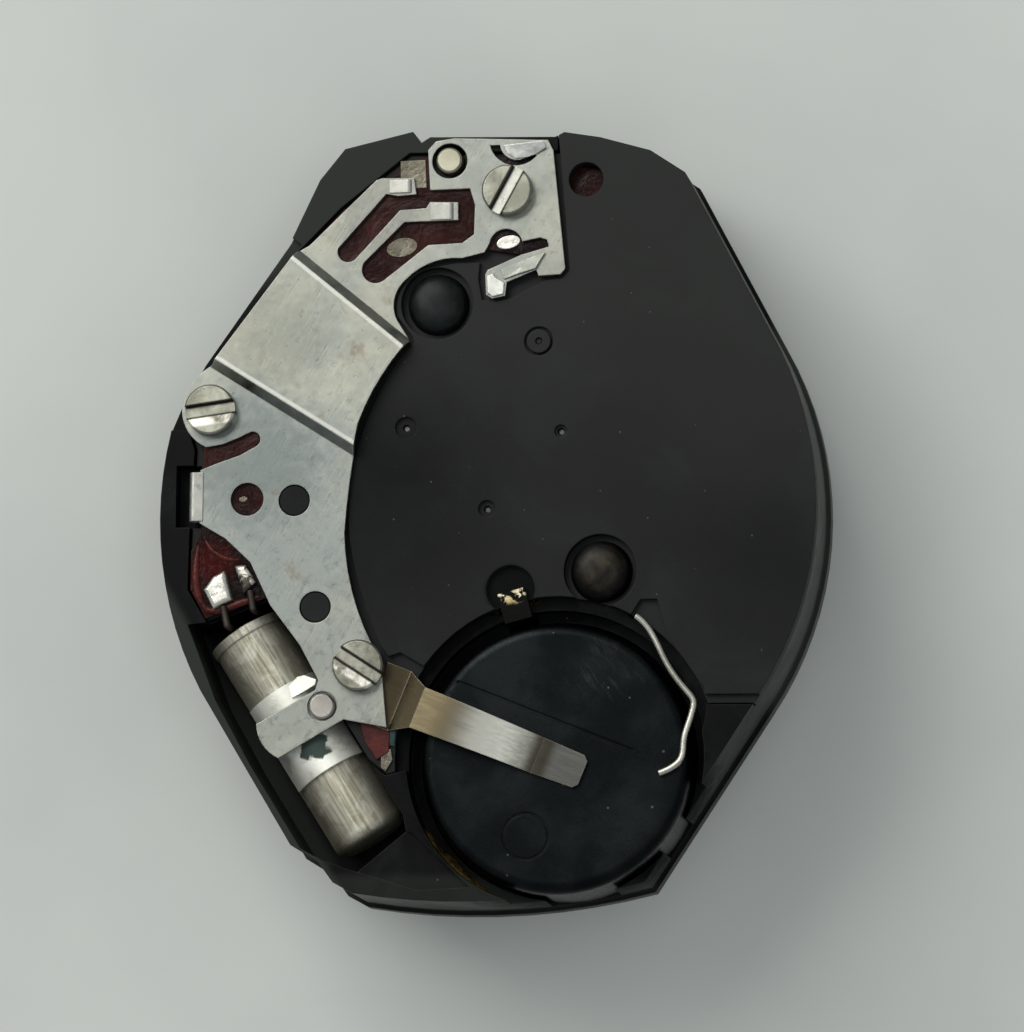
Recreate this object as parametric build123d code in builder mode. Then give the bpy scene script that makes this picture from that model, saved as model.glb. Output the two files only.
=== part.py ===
from build123d import *
import math
import os

os.makedirs("parts", exist_ok=True)

# A ladies' quartz watch movement seen from its battery side, with the stem at the top (+Y).
# The origin is the centre arbor at the dial seat, +Z points to the battery side. Millimetres.

# Whole movement
movement_width = 16.6
movement_length = 19.7
half_width = movement_width / 2
half_length = movement_length / 2
flange_step = 0.1
flange_height = 0.5

# Heights, counted from the dial seat: the cell sets the height of the rim and of the seats below it
cell_height = 2.6
cap_face_height = 0.45
cell_drop = 0.1
board_thickness = 0.15
bridge_flange = 0.3
cover_seat_height = 0.27
motion_ceiling_height = 0.65
train_floor_height = 1.0
rim_height = cap_face_height + cell_height + cell_drop
board_seat_height = rim_height - board_thickness
bridge_seat_height = board_seat_height - bridge_flange
train_height = bridge_seat_height - train_floor_height
low_rim_drop = 0.15
cut_overrun = 1.0

# Clearances
run_gap = 0.02
seat_gap = 0.01
side_gap = 0.05
wheel_room = 0.12
lift_gap = 0.03

# Spur toothing, as shares of the module and of the tooth pitch
addendum_share = 0.9
dedendum_share = 1.15
root_half_share = 0.33
tip_half_share = 0.12

# Going train
seconds_module = 0.112
seconds_wheel_teeth = 40
intermediate_pinion_teeth = 8
intermediate_bearing_angle = 46.5
rotor_module = 0.0845
rotor_pinion_teeth = 8
intermediate_wheel_teeth = 48
rotor_bearing_angle = 104.2
third_module = 0.0754
seconds_pinion_teeth = 6
third_wheel_teeth = 72
third_bearing_angle = 135.0
third_pinion_teeth = 12
centre_wheel_teeth = 60
wheel_thickness = 0.12
pivot_radius = 0.07
pivot_depth = 0.2
arbor_radius = 0.13
thin_arbor_radius = 0.1
shoulder_play = 0.05
hub_radius = 0.3
hub_height = 0.1
wheel_seat_radius = 0.2
upper_pivot_length = 0.3
spoke_count = 5
spoke_width = 0.16
rim_width_share = 0.14

# Levels of the wheels above the train floor, as shares of the height of the train
centre_wheel_lift = train_height * 0.06
third_wheel_lift = train_height * 0.265
seconds_wheel_lift = train_height * 0.56
intermediate_wheel_lift = train_height * 0.794
third_pinion_height = train_height * 0.2
seconds_pinion_height = train_height * 0.21
intermediate_pinion_height = train_height * 0.19
rotor_pinion_height = train_height * 0.19

# Hand posts on the dial side
seconds_post_radius = 0.1
seconds_post_reach = 1.75
minute_seat_radius = 0.35
minute_seat_reach = 1.35
hour_pipe_radius = 0.6
hour_pipe_reach = 0.9
centre_pipe_wall = 0.12
hand_seat_step = 0.01
hand_taper_length = 0.52
hour_shoulder_step = 0.16

# Motion works
motion_distance = 2.0
cannon_teeth = 12
minute_wheel_teeth = 36
minute_pinion_teeth = 10
hour_wheel_teeth = 40
setting_wheel_teeth = 20
minute_post_radius = 0.2
hour_wheel_lift = 0.03
minute_pinion_height = 0.14
motion_post_height = 0.6

# Motor
magnet_radius = 0.5
magnet_height = train_height * 0.35
magnet_lift = train_height * 0.15
stator_bore_radius = 0.65
stator_ring_radius = 1.02
stator_lift = train_height * 0.176
stator_thickness = train_height * 0.176
stator_limb_width = 0.8
core_thickness = train_height * 0.236
core_width = 0.7
coil_top_gap = 0.08
coil_length = 5.8
coil_cheek_thickness = 0.2
coil_cheek_step = 0.07
coil_to_wheel_gap = 0.45
coil_middle_share = 0.12
core_lug = 0.9
lower_knee_share = 0.223
motor_screw_radius = 0.2
motor_screw_head_radius = 0.4
motor_screw_head_height = 0.15
motor_screw_depth = 0.4
stator_notch_radius = 0.1
stator_notch_angles = (40, 220)
bearing_bush_radius = 0.3
bearing_bush_thickness = 0.3
bearing_ring_radius = 0.37
bearing_ring_depth = 0.12
oil_sink_radius = 0.22
oil_sink_depth = 0.1
bridge_hole_radius = 0.44

# Keyless works
stem_bore_radius = 0.45
stem_axis_height = 1.05
stem_bore_length = 0.6
bore_skin_share = 0.036
stem_chamber_half = 0.5
sliding_radius = 0.6
sliding_root_radius = 0.5
sliding_teeth = 14
sliding_length = 1.23
sliding_tooth_length = 0.5
sliding_groove_radius = 0.32
sliding_groove_width = 0.28
sliding_start = 5.62
sliding_bore_side = 0.42
pinion_pocket_half = 0.72
pinion_pocket_floor = 0.38
pinion_pocket_low = 5.2
pinion_pocket_high = 7.05
yoke_thickness = 0.2
yoke_tip_width = 0.18
yoke_arm_width = 0.35
yoke_boss_radius = 0.4
yoke_post_radius = 0.2
yoke_post_depth = 0.5
yoke_post_head_height = 0.15
yoke_pocket_floor = 0.9
yoke_pocket_margin = 0.56
yoke_level = 0.95
yoke_tail_width = 0.25
lever_thickness = 0.2
lever_level = 1.65
lever_boss_radius = 0.42
lever_pin_radius = 0.325
lever_pin_proud = 0.12
lever_journal_radius = 0.2
lever_journal_depth = 0.6
lever_stud_radius = 0.13
lever_stud_reach = 0.45
lever_arm_width = 0.36
lever_nose_radius = 0.1
lever_nose_gap = 0.07
lever_pocket_floor = 1.6

# Battery and its contacts
cell_diameter = 6.8
cell_edge_radius = 0.3
cell_cap_radius = 2.7
cell_cap_height = 0.42
cell_cap_rounding = 0.12
cell_gasket_width = 0.2
cell_groove_width = 0.09
cell_groove_depth = 0.06
cell_mark_radius = 0.6
cell_mark_depth = 0.03
cell_mark_width = 0.06
cell_wall_gap = 0.1
well_radius = 3.75
bridge_well_step = 0.3
well_step_height = 2.2
well_floor_height = 0.3
can_ledge_height = 0.7
contact_strip_width = 0.7
contact_strip_thickness = 0.12
contact_strip_tail = 1.5
contact_terminal_length = 0.77
contact_notch_radius = 0.62
contact_notch_offset = 0.63
contact_angle = 105.3
spring_wire_radius = 0.085

# Sheet metal contact plate over the circuit
sheet_thickness = 0.15
raised_step = 0.25
step_run = 0.22
tab_drop = 0.34
tab_run = 0.34
tab_line_share = -0.877
tab_low_share = -0.028
tab_high_share = 0.101
plate_hole_radius = 0.42
lever_hole_radius = 0.45
rivet_gap = 0.045
stud_hole_radius = 0.4
stud_radius = 0.37
stud_height = 0.27
strap_thickness = 0.12
strap_rise = 0.3
strap_arch_lift = 0.08
strap_angle = -21.6
strap_root_length = 0.3
strap_flat_length = 0.35
strap_slope_length = 0.54
strap_arch_length = 3.23
strap_tip_length = 1.22
strap_root_width = 1.6
strap_fold_width = 1.08
strap_neck_width = 0.94
strap_tip_width = 0.86
strap_tip_rounding = 0.12

# Fasteners
screw_head_radius = 0.64
screw_head_height = 0.34
screw_shank_radius = 0.3
screw_shank_length = 1.1
screw_slot_width = 0.31
screw_slot_depth = 0.16
screw_edge = 0.05
cover_screw_radius = 0.5
cover_screw_head = 0.12
cover_screw_angles = (162.3, 17.7)
cover_screw_shank_radius = 0.22
cover_screw_shank_length = 0.6
stake_radius = 0.35
dome_radius = 0.78
dome_height = 0.44
dome_seat_radius = 0.92
dome_seat_depth = 0.3

# Crystal
crystal_radius = 0.98
crystal_length = 6.2
crystal_top_gap = 0.04
crystal_header_radius = 0.8
crystal_header_length = 0.35
crystal_header_proud = 0.06
crystal_collar_step = 0.04
crystal_collar_length = 0.22
crystal_end_rounding = 0.25
crystal_lead_radius = 0.09
crystal_lead_reach = 0.2
outer_lead_across = -0.22
inner_lead_across = 0.55
clip_length = 2.4
clip_thickness = 0.08
clip_start = 1.85
clip_half_angle = 62
trough_floor_gap = 0.07
rivet_radius = 0.33
rivet_height = 0.1
rivet_foot_radius = 0.45
rivet_foot_height = 0.05

# Circuit
chip_side = 1.9
chip_height = 0.2
chip_edge = 0.05
solder_height = 0.22
solder_rounding = 0.12

# Dial side
cover_thickness = 0.15
dial_foot_radius = 0.35
dial_foot_depth = 1.5


def spot(share):
    """A place in plan, given as shares of half the width and half the length."""
    return (share[0] * half_width, share[1] * half_length)


def spots(shares):
    """A list of places in plan."""
    return [spot(share) for share in shares]


def step_from(centre, distance, angle):
    """The place that lies at a distance and an angle in degrees from a centre."""
    turn = math.radians(angle)
    return (centre[0] + distance * math.cos(turn), centre[1] + distance * math.sin(turn))


def slab(points, low, high, mode=Mode.ADD):
    """A block with a polygon for its plan, between two heights."""
    with BuildSketch(Plane.XY.offset(low)) as face:
        Polygon(*points, align=None)
    extrude(face.sketch, amount=high - low, dir=(0, 0, 1), mode=mode)


def traced_slab(runs, low, high, mode=Mode.ADD):
    """A block whose plan is a closed chain of straight runs and arcs."""
    with BuildSketch(Plane.XY.offset(low)) as face:
        with BuildLine():
            for kind, shares in runs:
                if kind == "arc":
                    ThreePointArc(*spots(shares))
                else:
                    Polyline(*spots(shares))
        make_face()
    extrude(face.sketch, amount=high - low, dir=(0, 0, 1), mode=mode)


def disc(centre, radius, low, high, mode=Mode.ADD):
    """An upright cylinder between two heights."""
    with BuildSketch(Plane.XY.offset(low)) as face:
        with Locations(centre):
            Circle(radius)
    extrude(face.sketch, amount=high - low, dir=(0, 0, 1), mode=mode)


def taper(centre, low_radius, high_radius, low, high):
    """An upright cone between two heights."""
    with Locations((centre[0], centre[1], low)):
        Cone(low_radius, high_radius, high - low, align=(Align.CENTER, Align.CENTER, Align.MIN))


def bar(start, end, width, low, high, mode=Mode.ADD):
    """A straight round-ended bar between two places and two heights."""
    angle = math.degrees(math.atan2(end[1] - start[1], end[0] - start[0]))
    middle = ((start[0] + end[0]) / 2, (start[1] + end[1]) / 2)
    with BuildSketch(Plane.XY.offset(low)) as face:
        with Locations(middle):
            Rectangle(math.dist(start, end), width, rotation=angle)
        with Locations(start, end):
            Circle(width / 2)
    extrude(face.sketch, amount=high - low, dir=(0, 0, 1), mode=mode)


def rod(start, end, radius, mode=Mode.ADD):
    """A round rod between two points in space."""
    way = Vector(*end) - Vector(*start)
    with BuildSketch(Plane(start, z_dir=way)) as face:
        Circle(radius)
    extrude(face.sketch, amount=way.length, mode=mode)


def upright_plane(place, angle):
    """A standing plane through a place: its x runs along the angle, its y is up."""
    turn = math.radians(angle)
    return Plane(
        (place[0], place[1], 0),
        x_dir=(math.cos(turn), math.sin(turn), 0),
        z_dir=(math.sin(turn), -math.cos(turn), 0),
    )


def gear_points(centre, teeth, module, phase):
    """Outline of a spur gear with straight flanks, with a tooth at the phase angle."""
    root = module * (teeth / 2 - dedendum_share)
    tip = module * (teeth / 2 + addendum_share)
    pitch = 360 / teeth
    flanks = (
        (-root_half_share, root), (-tip_half_share, tip), (tip_half_share, tip), (root_half_share, root),
    )
    return [
        step_from(centre, radius, phase + (tooth + shift) * pitch)
        for tooth in range(teeth)
        for shift, radius in flanks
    ]


def tip_radius(teeth, module):
    """Radius over the tips of the teeth."""
    return module * (teeth / 2 + addendum_share)


def mating_phase(bearing, teeth):
    """Phase of a gear whose gap takes the tooth that its partner points along the bearing."""
    return bearing + 180 + 180 / teeth


def open_spokes(centre, teeth, module, low, high):
    """Cuts the windows between the spokes of a thin wheel."""
    outer = module * teeth / 2 * (1 - rim_width_share)
    inner = hub_radius + spoke_width
    with BuildSketch(Plane.XY.offset(low)) as face:
        with Locations(centre):
            Circle(outer)
            Circle(inner, mode=Mode.SUBTRACT)
        for spoke in range(spoke_count):
            angle = 360 / spoke_count * spoke
            with Locations(step_from(centre, outer / 2, angle)):
                Rectangle(outer * 2, spoke_width, rotation=angle, mode=Mode.SUBTRACT)
    extrude(face.sketch, amount=high - low, dir=(0, 0, 1), mode=Mode.SUBTRACT)


# Places of the train arbors, from the gear sizes
centre_place = (0, 0)
seconds_distance = seconds_module * (seconds_wheel_teeth + intermediate_pinion_teeth) / 2
rotor_distance = rotor_module * (rotor_pinion_teeth + intermediate_wheel_teeth) / 2
third_distance = third_module * (seconds_pinion_teeth + third_wheel_teeth) / 2
centre_module = 2 * third_distance / (third_pinion_teeth + centre_wheel_teeth)
intermediate_place = step_from(centre_place, seconds_distance, intermediate_bearing_angle)
rotor_place = step_from(intermediate_place, rotor_distance, rotor_bearing_angle)
third_place = step_from(centre_place, third_distance, third_bearing_angle)
intermediate_tip = tip_radius(intermediate_wheel_teeth, rotor_module)
third_tip = tip_radius(third_wheel_teeth, third_module)
centre_tip = tip_radius(centre_wheel_teeth, centre_module)

# Levels of the wheels
centre_wheel_level = train_floor_height + centre_wheel_lift
third_wheel_level = train_floor_height + third_wheel_lift
seconds_wheel_level = train_floor_height + seconds_wheel_lift
intermediate_wheel_level = train_floor_height + intermediate_wheel_lift
pivot_level = train_floor_height - pivot_depth + lift_gap
shoulder_level = train_floor_height + shoulder_play
upper_shoulder = bridge_seat_height - shoulder_play
pivot_top = bridge_seat_height + upper_pivot_length - shoulder_play

# Places and levels of the motion works, in a row up to the sliding pinion
cannon_module = 2 * motion_distance / (cannon_teeth + minute_wheel_teeth)
hour_module = 2 * motion_distance / (minute_pinion_teeth + hour_wheel_teeth)
minute_place = (0, motion_distance)
setting_place = (0, motion_distance + cannon_module * (minute_wheel_teeth + setting_wheel_teeth) / 2)
cannon_tip = tip_radius(cannon_teeth, cannon_module)
minute_tip = tip_radius(minute_wheel_teeth, cannon_module)
hour_tip = tip_radius(hour_wheel_teeth, hour_module)
setting_tip = tip_radius(setting_wheel_teeth, cannon_module)
hour_wheel_level = cover_seat_height + hour_wheel_lift
minute_wheel_level = hour_wheel_level + wheel_thickness + side_gap
setting_wheel_level = minute_wheel_level - run_gap
centre_pipe_bore = seconds_post_radius + run_gap
centre_pipe_radius = centre_pipe_bore + centre_pipe_wall

# Places of the other fixed points
well_place = spot((0.214, -0.637))
cell_radius = cell_diameter / 2
cell_top_height = cap_face_height + cell_height
plate_top_height = rim_height + sheet_thickness
lever_pin_height = plate_top_height + lever_pin_proud
screw_places = spots([(0.058, 0.816), (-0.846, 0.258), (-0.38, -0.403)])
screw_slot_angles = (62, 8, -33)
screw_hole_radius = screw_shank_radius + seat_gap
stake_bearing = 76.5
stake_places = [
    step_from(third_place, third_tip + stake_radius + wheel_room, stake_bearing),
    spot((0.347, -0.161)),
]
stud_places = spots([(-0.587, 0.025), (-0.518, -0.25)])
test_hole_place = spot((-0.732, 0.029))
bridge_hole_place = spot((0.293, 0.848))
lever_place = spot((-0.123, 0.899))
lever_stud_place = spot((0.0, 0.8426))
lever_nose_place = spot((-0.229, 0.819))
yoke_place = spot((-0.325, 0.645))
foot_places = spots([(0.52, 0.74), (-0.78, 0.1)])
cover_screw_distance = hour_tip + cover_screw_radius + wheel_room * 6
cover_screw_places = [
    step_from(centre_place, cover_screw_distance, angle) for angle in cover_screw_angles
]
contact_notch_place = step_from(well_place, well_radius + contact_notch_offset, contact_angle)
strap_place = spot((-0.2985, -0.4775))
crystal_start = spot((-0.753, -0.3))
crystal_angle = -57.6
crystal_axis_height = rim_height - crystal_top_gap - clip_thickness - crystal_radius
trough_floor_height = crystal_axis_height - crystal_radius - trough_floor_gap
above = rim_height + cut_overrun

# Places and levels of the motor
stator_level = train_floor_height + stator_lift
core_level = stator_level + stator_thickness
coil_axis_height = core_level + core_thickness / 2
coil_cheek_radius = bridge_seat_height - coil_axis_height - coil_top_gap
coil_radius = coil_cheek_radius - coil_cheek_step
coil_x = intermediate_place[0] + intermediate_tip + coil_to_wheel_gap + coil_radius
coil_y = half_length * coil_middle_share
coil_top = coil_y + coil_length / 2
coil_foot = coil_y - coil_length / 2
upper_limb_y = coil_top + coil_cheek_thickness + core_lug / 2
lower_limb_y = coil_foot - coil_cheek_thickness - core_lug / 2
limb_line = coil_x - coil_cheek_radius - side_gap - stator_limb_width / 2
upper_elbow = (rotor_place[0], upper_limb_y)
upper_lug = (coil_x, upper_limb_y)
lower_knee = (limb_line, half_length * lower_knee_share)
lower_elbow = (limb_line, lower_limb_y)
lower_lug = (coil_x, lower_limb_y)
stator_limbs = (
    (rotor_place, upper_elbow),
    (upper_elbow, upper_lug),
    (rotor_place, lower_knee),
    (lower_knee, lower_elbow),
    (lower_elbow, lower_lug),
)

# Levels of the keyless works and of the contact below the cell
stem_wall_outer = half_length * (1 - bore_skin_share)
chamber_start = stem_wall_outer - stem_bore_length
riser_radius = well_radius - contact_strip_thickness - side_gap
groove_start_y = sliding_start + sliding_tooth_length + run_gap
yoke_groove_y = groove_start_y + sliding_groove_width / 2


def crystal_spot(along, across):
    """A place in plan measured along and across the crystal, from its header end."""
    middle = step_from(crystal_start, along, crystal_angle)
    return step_from(middle, across, crystal_angle + 90)


def crystal_point(along, across, height):
    """A point in space measured along and across the crystal."""
    place = crystal_spot(along, across)
    return (place[0], place[1], height)


# The rivet of the clip, on the side of the crystal towards the middle
rivet_along = 2.86
rivet_across = 0.75
rivet_place = crystal_spot(rivet_along, rivet_across)


def movement_face(level, growth=0.0):
    """Outline of the movement at a height: three long arcs joined by straight runs."""
    across = half_width + growth
    along = half_length + growth
    top_shares = [
        (-0.215, 0.95), (-0.187, 0.965), (0.197, 0.96), (0.225, 0.972), (0.335, 0.957), (0.488, 0.921),
        (0.595, 0.862), (0.857, 0.45),
    ]
    right_arc_shares = [(0.857, 0.45), (0.998, 0.0), (0.818, -0.495)]
    foot_arc_shares = [(0.476, -0.944), (0.03, -1.0), (-0.395, -0.979)]
    foot_shares = [(-0.395, -0.979), (-0.456, -0.951), (-0.5, -0.9), (-0.586, -0.856), (-0.87, -0.459)]
    left_arc_shares = [(-0.87, -0.459), (-1.003, -0.03), (-0.971, 0.218)]
    left_shares = [
        (-0.971, 0.218), (-0.935, 0.29), (-0.872, 0.383), (-0.615, 0.695), (-0.525, 0.858), (-0.449, 0.938),
        (-0.24, 0.98), (-0.215, 0.95),
    ]

    def at(shares):
        return [(share[0] * across, share[1] * along) for share in shares]

    with BuildSketch(Plane.XY.offset(level)) as face:
        with BuildLine():
            Polyline(*at(top_shares))
            ThreePointArc(*at(right_arc_shares))
            Line(*at([right_arc_shares[-1], foot_arc_shares[0]]))
            ThreePointArc(*at(foot_arc_shares))
            Polyline(*at(foot_shares))
            ThreePointArc(*at(left_arc_shares))
            Polyline(*at(left_shares))
        make_face()
    return face.sketch


# Plan of the bed in the main plate that takes the train bridge and the circuit. Beside the crystal it
# runs into the crystal's own hollow, whose long wall follows the can.
trough_wall = crystal_radius + side_gap
trough_head = crystal_spot(-crystal_lead_reach - side_gap, trough_wall)
bed_points = spots([
    (-0.25, 0.925), (0.205, 0.925), (0.205, 1.2), (1.2, 1.2), (1.2, -0.505), (0.7, -0.505), (0.3, -0.5),
    (-0.1, -0.5), (-0.2, -0.66), (-0.3, -0.68),
])
bed_points += [crystal_spot(crystal_length * share, crystal_header_radius) for share in (0.65, 0.2)]
bed_points += [trough_head]
bed_points += spots([
    (-0.855, -0.285), (-0.915, -0.2), (-0.912, -0.06), (-0.9, 0.16), (-0.93, 0.24), (-0.87, 0.345),
    (-0.61, 0.655), (-0.46, 0.785),
])

# Plan of the upper face of the train bridge
bridge_outline_shares = [
    ("line", [(0.208, 1.2), (0.208, 0.96), (0.213, 0.92), (0.245, 0.612), (0.222, 0.592), (0.171, 0.588),
              (0.064, 0.542), (0.025, 0.535), (-0.022, 0.539), (-0.034, 0.591), (-0.03, 0.636),
              (-0.1, 0.636), (-0.2, 0.622)]),
    ("arc", [(-0.2, 0.622), (-0.268, 0.575), (-0.282, 0.5)]),
    ("line", [(-0.282, 0.5), (-0.232, 0.445), (-0.229, 0.432), (-0.271, 0.391)]),
    ("arc", [(-0.271, 0.391), (-0.382, 0.206), (-0.417, -0.077)]),
    ("arc", [(-0.417, -0.077), (-0.385, -0.2), (-0.32, -0.347)]),
    ("line", [(-0.32, -0.347), (-0.295, -0.376), (-0.259, -0.366), (-0.15, -0.42), (0.3, -0.42),
              (0.636, -0.478), (1.2, -0.478), (1.2, 1.2), (0.208, 1.2)]),
]

# Plan of the circuit board
board_outline_shares = [
    ("line", [(-0.22, 0.91), (0.17, 0.91), (0.2, 0.64), (-0.01, 0.67), (-0.09, 0.652), (-0.2, 0.64)]),
    ("arc", [(-0.2, 0.64), (-0.282, 0.585), (-0.305, 0.49)]),
    ("line", [(-0.305, 0.49), (-0.25, 0.432)]),
    ("arc", [(-0.25, 0.432), (-0.405, 0.21), (-0.45, -0.06)]),
    ("arc", [(-0.45, -0.06), (-0.412, -0.215), (-0.335, -0.365)]),
    ("line", [(-0.335, -0.365), (-0.47, -0.365), (-0.47, -0.45), (-0.668, -0.223), (-0.858, -0.275),
              (-0.905, -0.2), (-0.905, -0.1), (-0.87, -0.04), (-0.87, 0.17), (-0.92, 0.235),
              (-0.865, 0.335), (-0.6, 0.645), (-0.45, 0.78), (-0.22, 0.91)]),
]

# Plan of the contact plate, round its edge from the root of the upper finger
contact_outline_shares = [
    ("line", [(-0.182, 0.824), (-0.06, 0.827), (-0.044, 0.783), (-0.046, 0.707), (-0.082, 0.685),
              (-0.186, 0.681), (-0.32, 0.592)]),
    ("arc", [(-0.32, 0.592), (-0.376, 0.594), (-0.383, 0.639)]),
    ("line", [(-0.383, 0.639), (-0.261, 0.742), (-0.095, 0.745), (-0.096, 0.791), (-0.182, 0.793),
              (-0.194, 0.777), (-0.274, 0.773), (-0.407, 0.65)]),
    ("arc", [(-0.407, 0.65), (-0.451, 0.645), (-0.463, 0.677)]),
    ("line", [(-0.463, 0.677), (-0.318, 0.816), (-0.281, 0.81), (-0.225, 0.814), (-0.232, 0.856),
              (-0.331, 0.857), (-0.349, 0.852), (-0.55, 0.686), (-0.587, 0.668), (-0.844, 0.378)]),
    ("arc", [(-0.844, 0.378), (-0.896, 0.344), (-0.937, 0.275)]),
    ("arc", [(-0.937, 0.275), (-0.917, 0.205), (-0.861, 0.165)]),
    ("line", [(-0.861, 0.165), (-0.812, 0.172), (-0.757, 0.19), (-0.726, 0.203)]),
    ("arc", [(-0.726, 0.203), (-0.695, 0.189), (-0.707, 0.166)]),
    ("line", [(-0.707, 0.166), (-0.756, 0.143), (-0.835, 0.12), (-0.89, 0.101),
              (-0.915, 0.101), (-0.916, -0.028), (-0.888, -0.026), (-0.798, -0.071), (-0.719, -0.133),
              (-0.656, -0.244), (-0.562, -0.348), (-0.505, -0.438), (-0.514, -0.463), (-0.693, -0.549)]),
    ("arc", [(-0.693, -0.549), (-0.676, -0.597), (-0.624, -0.636)]),
    ("line", [(-0.624, -0.636), (-0.427, -0.538), (-0.295, -0.559), (-0.317, -0.375), (-0.342, -0.349)]),
    ("arc", [(-0.342, -0.349), (-0.412, -0.19), (-0.432, -0.06)]),
    ("arc", [(-0.432, -0.06), (-0.416, 0.085), (-0.391, 0.217)]),
    ("arc", [(-0.391, 0.217), (-0.34, 0.312), (-0.238, 0.432)]),
    ("line", [(-0.238, 0.432), (-0.279, 0.487)]),
    ("arc", [(-0.279, 0.487), (-0.29, 0.532), (-0.256, 0.591)]),
    ("arc", [(-0.256, 0.591), (-0.19, 0.631), (-0.082, 0.646)]),
    ("line", [(-0.082, 0.646), (-0.014, 0.66), (0.001, 0.683)]),
    ("arc", [(0.001, 0.683), (0.05, 0.72), (0.102, 0.687)]),
    ("line", [(0.102, 0.687), (0.157, 0.696), (0.178, 0.69), (0.184, 0.672), (0.1, 0.652),
              (-0.003, 0.614), (-0.01, 0.602), (-0.007, 0.55), (0.011, 0.54), (0.051, 0.547),
              (0.056, 0.582), (0.146, 0.613), (0.153, 0.597), (0.219, 0.6), (0.234, 0.615),
              (0.194, 0.922), (0.178, 0.949), (-0.108, 0.958), (-0.166, 0.951), (-0.19, 0.928),
              (-0.182, 0.824)]),
]

# The two lines where the contact plate steps up to pass over the chip
step_line_shares = (
    ((-0.277, 0.463), (-0.576, 0.669)),
    ((-0.839, 0.366), (-0.404, 0.136)),
)

# Slot in the contact plate that frees a small tongue at the top
tongue_slot_shares = [
    ("arc", [(0.0, 0.938), (0.068, 0.885), (0.145, 0.91)]),
    ("line", [(0.145, 0.91), (0.123, 0.914)]),
    ("arc", [(0.123, 0.914), (0.078, 0.899), (0.031, 0.938)]),
    ("line", [(0.031, 0.938), (0.0, 0.938)]),
]

# Plan of the hollow round the crystal and its leads, open towards the well side
trough_points = [trough_head]
trough_points += spots([
    (-0.855, -0.285), (-0.912, -0.29), (-0.823, -0.485), (-0.713, -0.652), (-0.555, -0.865),
    (-0.49, -0.895), (-0.385, -0.925), (-0.235, -0.82),
])
trough_points.append(crystal_spot(crystal_length + side_gap, trough_wall))

# Plans of the smaller rooms
terminal_shares = [(0.22, 0.9), (0.4, 0.88), (0.66, 0.6), (0.58, 0.56), (0.36, 0.76), (0.22, 0.78)]
tab_pocket_shares = [(-0.955, 0.12), (-0.88, 0.12), (-0.88, -0.04), (-0.955, -0.04)]
spring_room_shares = [
    (0.42, -0.3), (0.47, -0.235), (0.52, -0.235), (0.56, -0.34), (0.665, -0.462), (0.672, -0.52),
    (0.655, -0.585), (0.6, -0.62), (0.5, -0.42),
]
yoke_room = [
    (-half_width * 0.4, yoke_groove_y - yoke_pocket_margin),
    (-half_width * 0.06, yoke_groove_y - yoke_pocket_margin),
]
yoke_room += spots([
    (-0.06, 0.69), (-0.135, 0.71), (-0.135, 0.845), (-0.275, 0.86), (-0.29, 0.73), (-0.4, 0.7),
])
lever_room_shares = [
    (-0.3, 0.79), (-0.1, 0.797), (0.006, 0.817), (0.033, 0.841), (0.045, 0.863), (0.048, 0.898),
    (-0.024, 0.924), (-0.12, 0.944), (-0.187, 0.924), (-0.265, 0.863),
]

# Plan of the channel for the strip that touches the cap of the cell
channel_half = contact_strip_width / 2 + side_gap
channel_near = step_from(well_place, -contact_strip_tail - side_gap, contact_angle)
channel_far = step_from(well_place, well_radius, contact_angle)
channel_points = [
    step_from(channel_near, channel_half, contact_angle + 90),
    step_from(channel_far, channel_half, contact_angle + 90),
    step_from(channel_far, channel_half, contact_angle - 90),
    step_from(channel_near, channel_half, contact_angle - 90),
]

# Round fields of the motion cover on the dial side
cover_fields = [
    (centre_place, hour_tip + wheel_room * 5),
    (minute_place, minute_tip + wheel_room * 4),
    (setting_place, setting_tip + wheel_room * 3),
    (cover_screw_places[0], cover_screw_radius + wheel_room * 2),
    (cover_screw_places[1], cover_screw_radius + wheel_room * 2),
]

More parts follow.
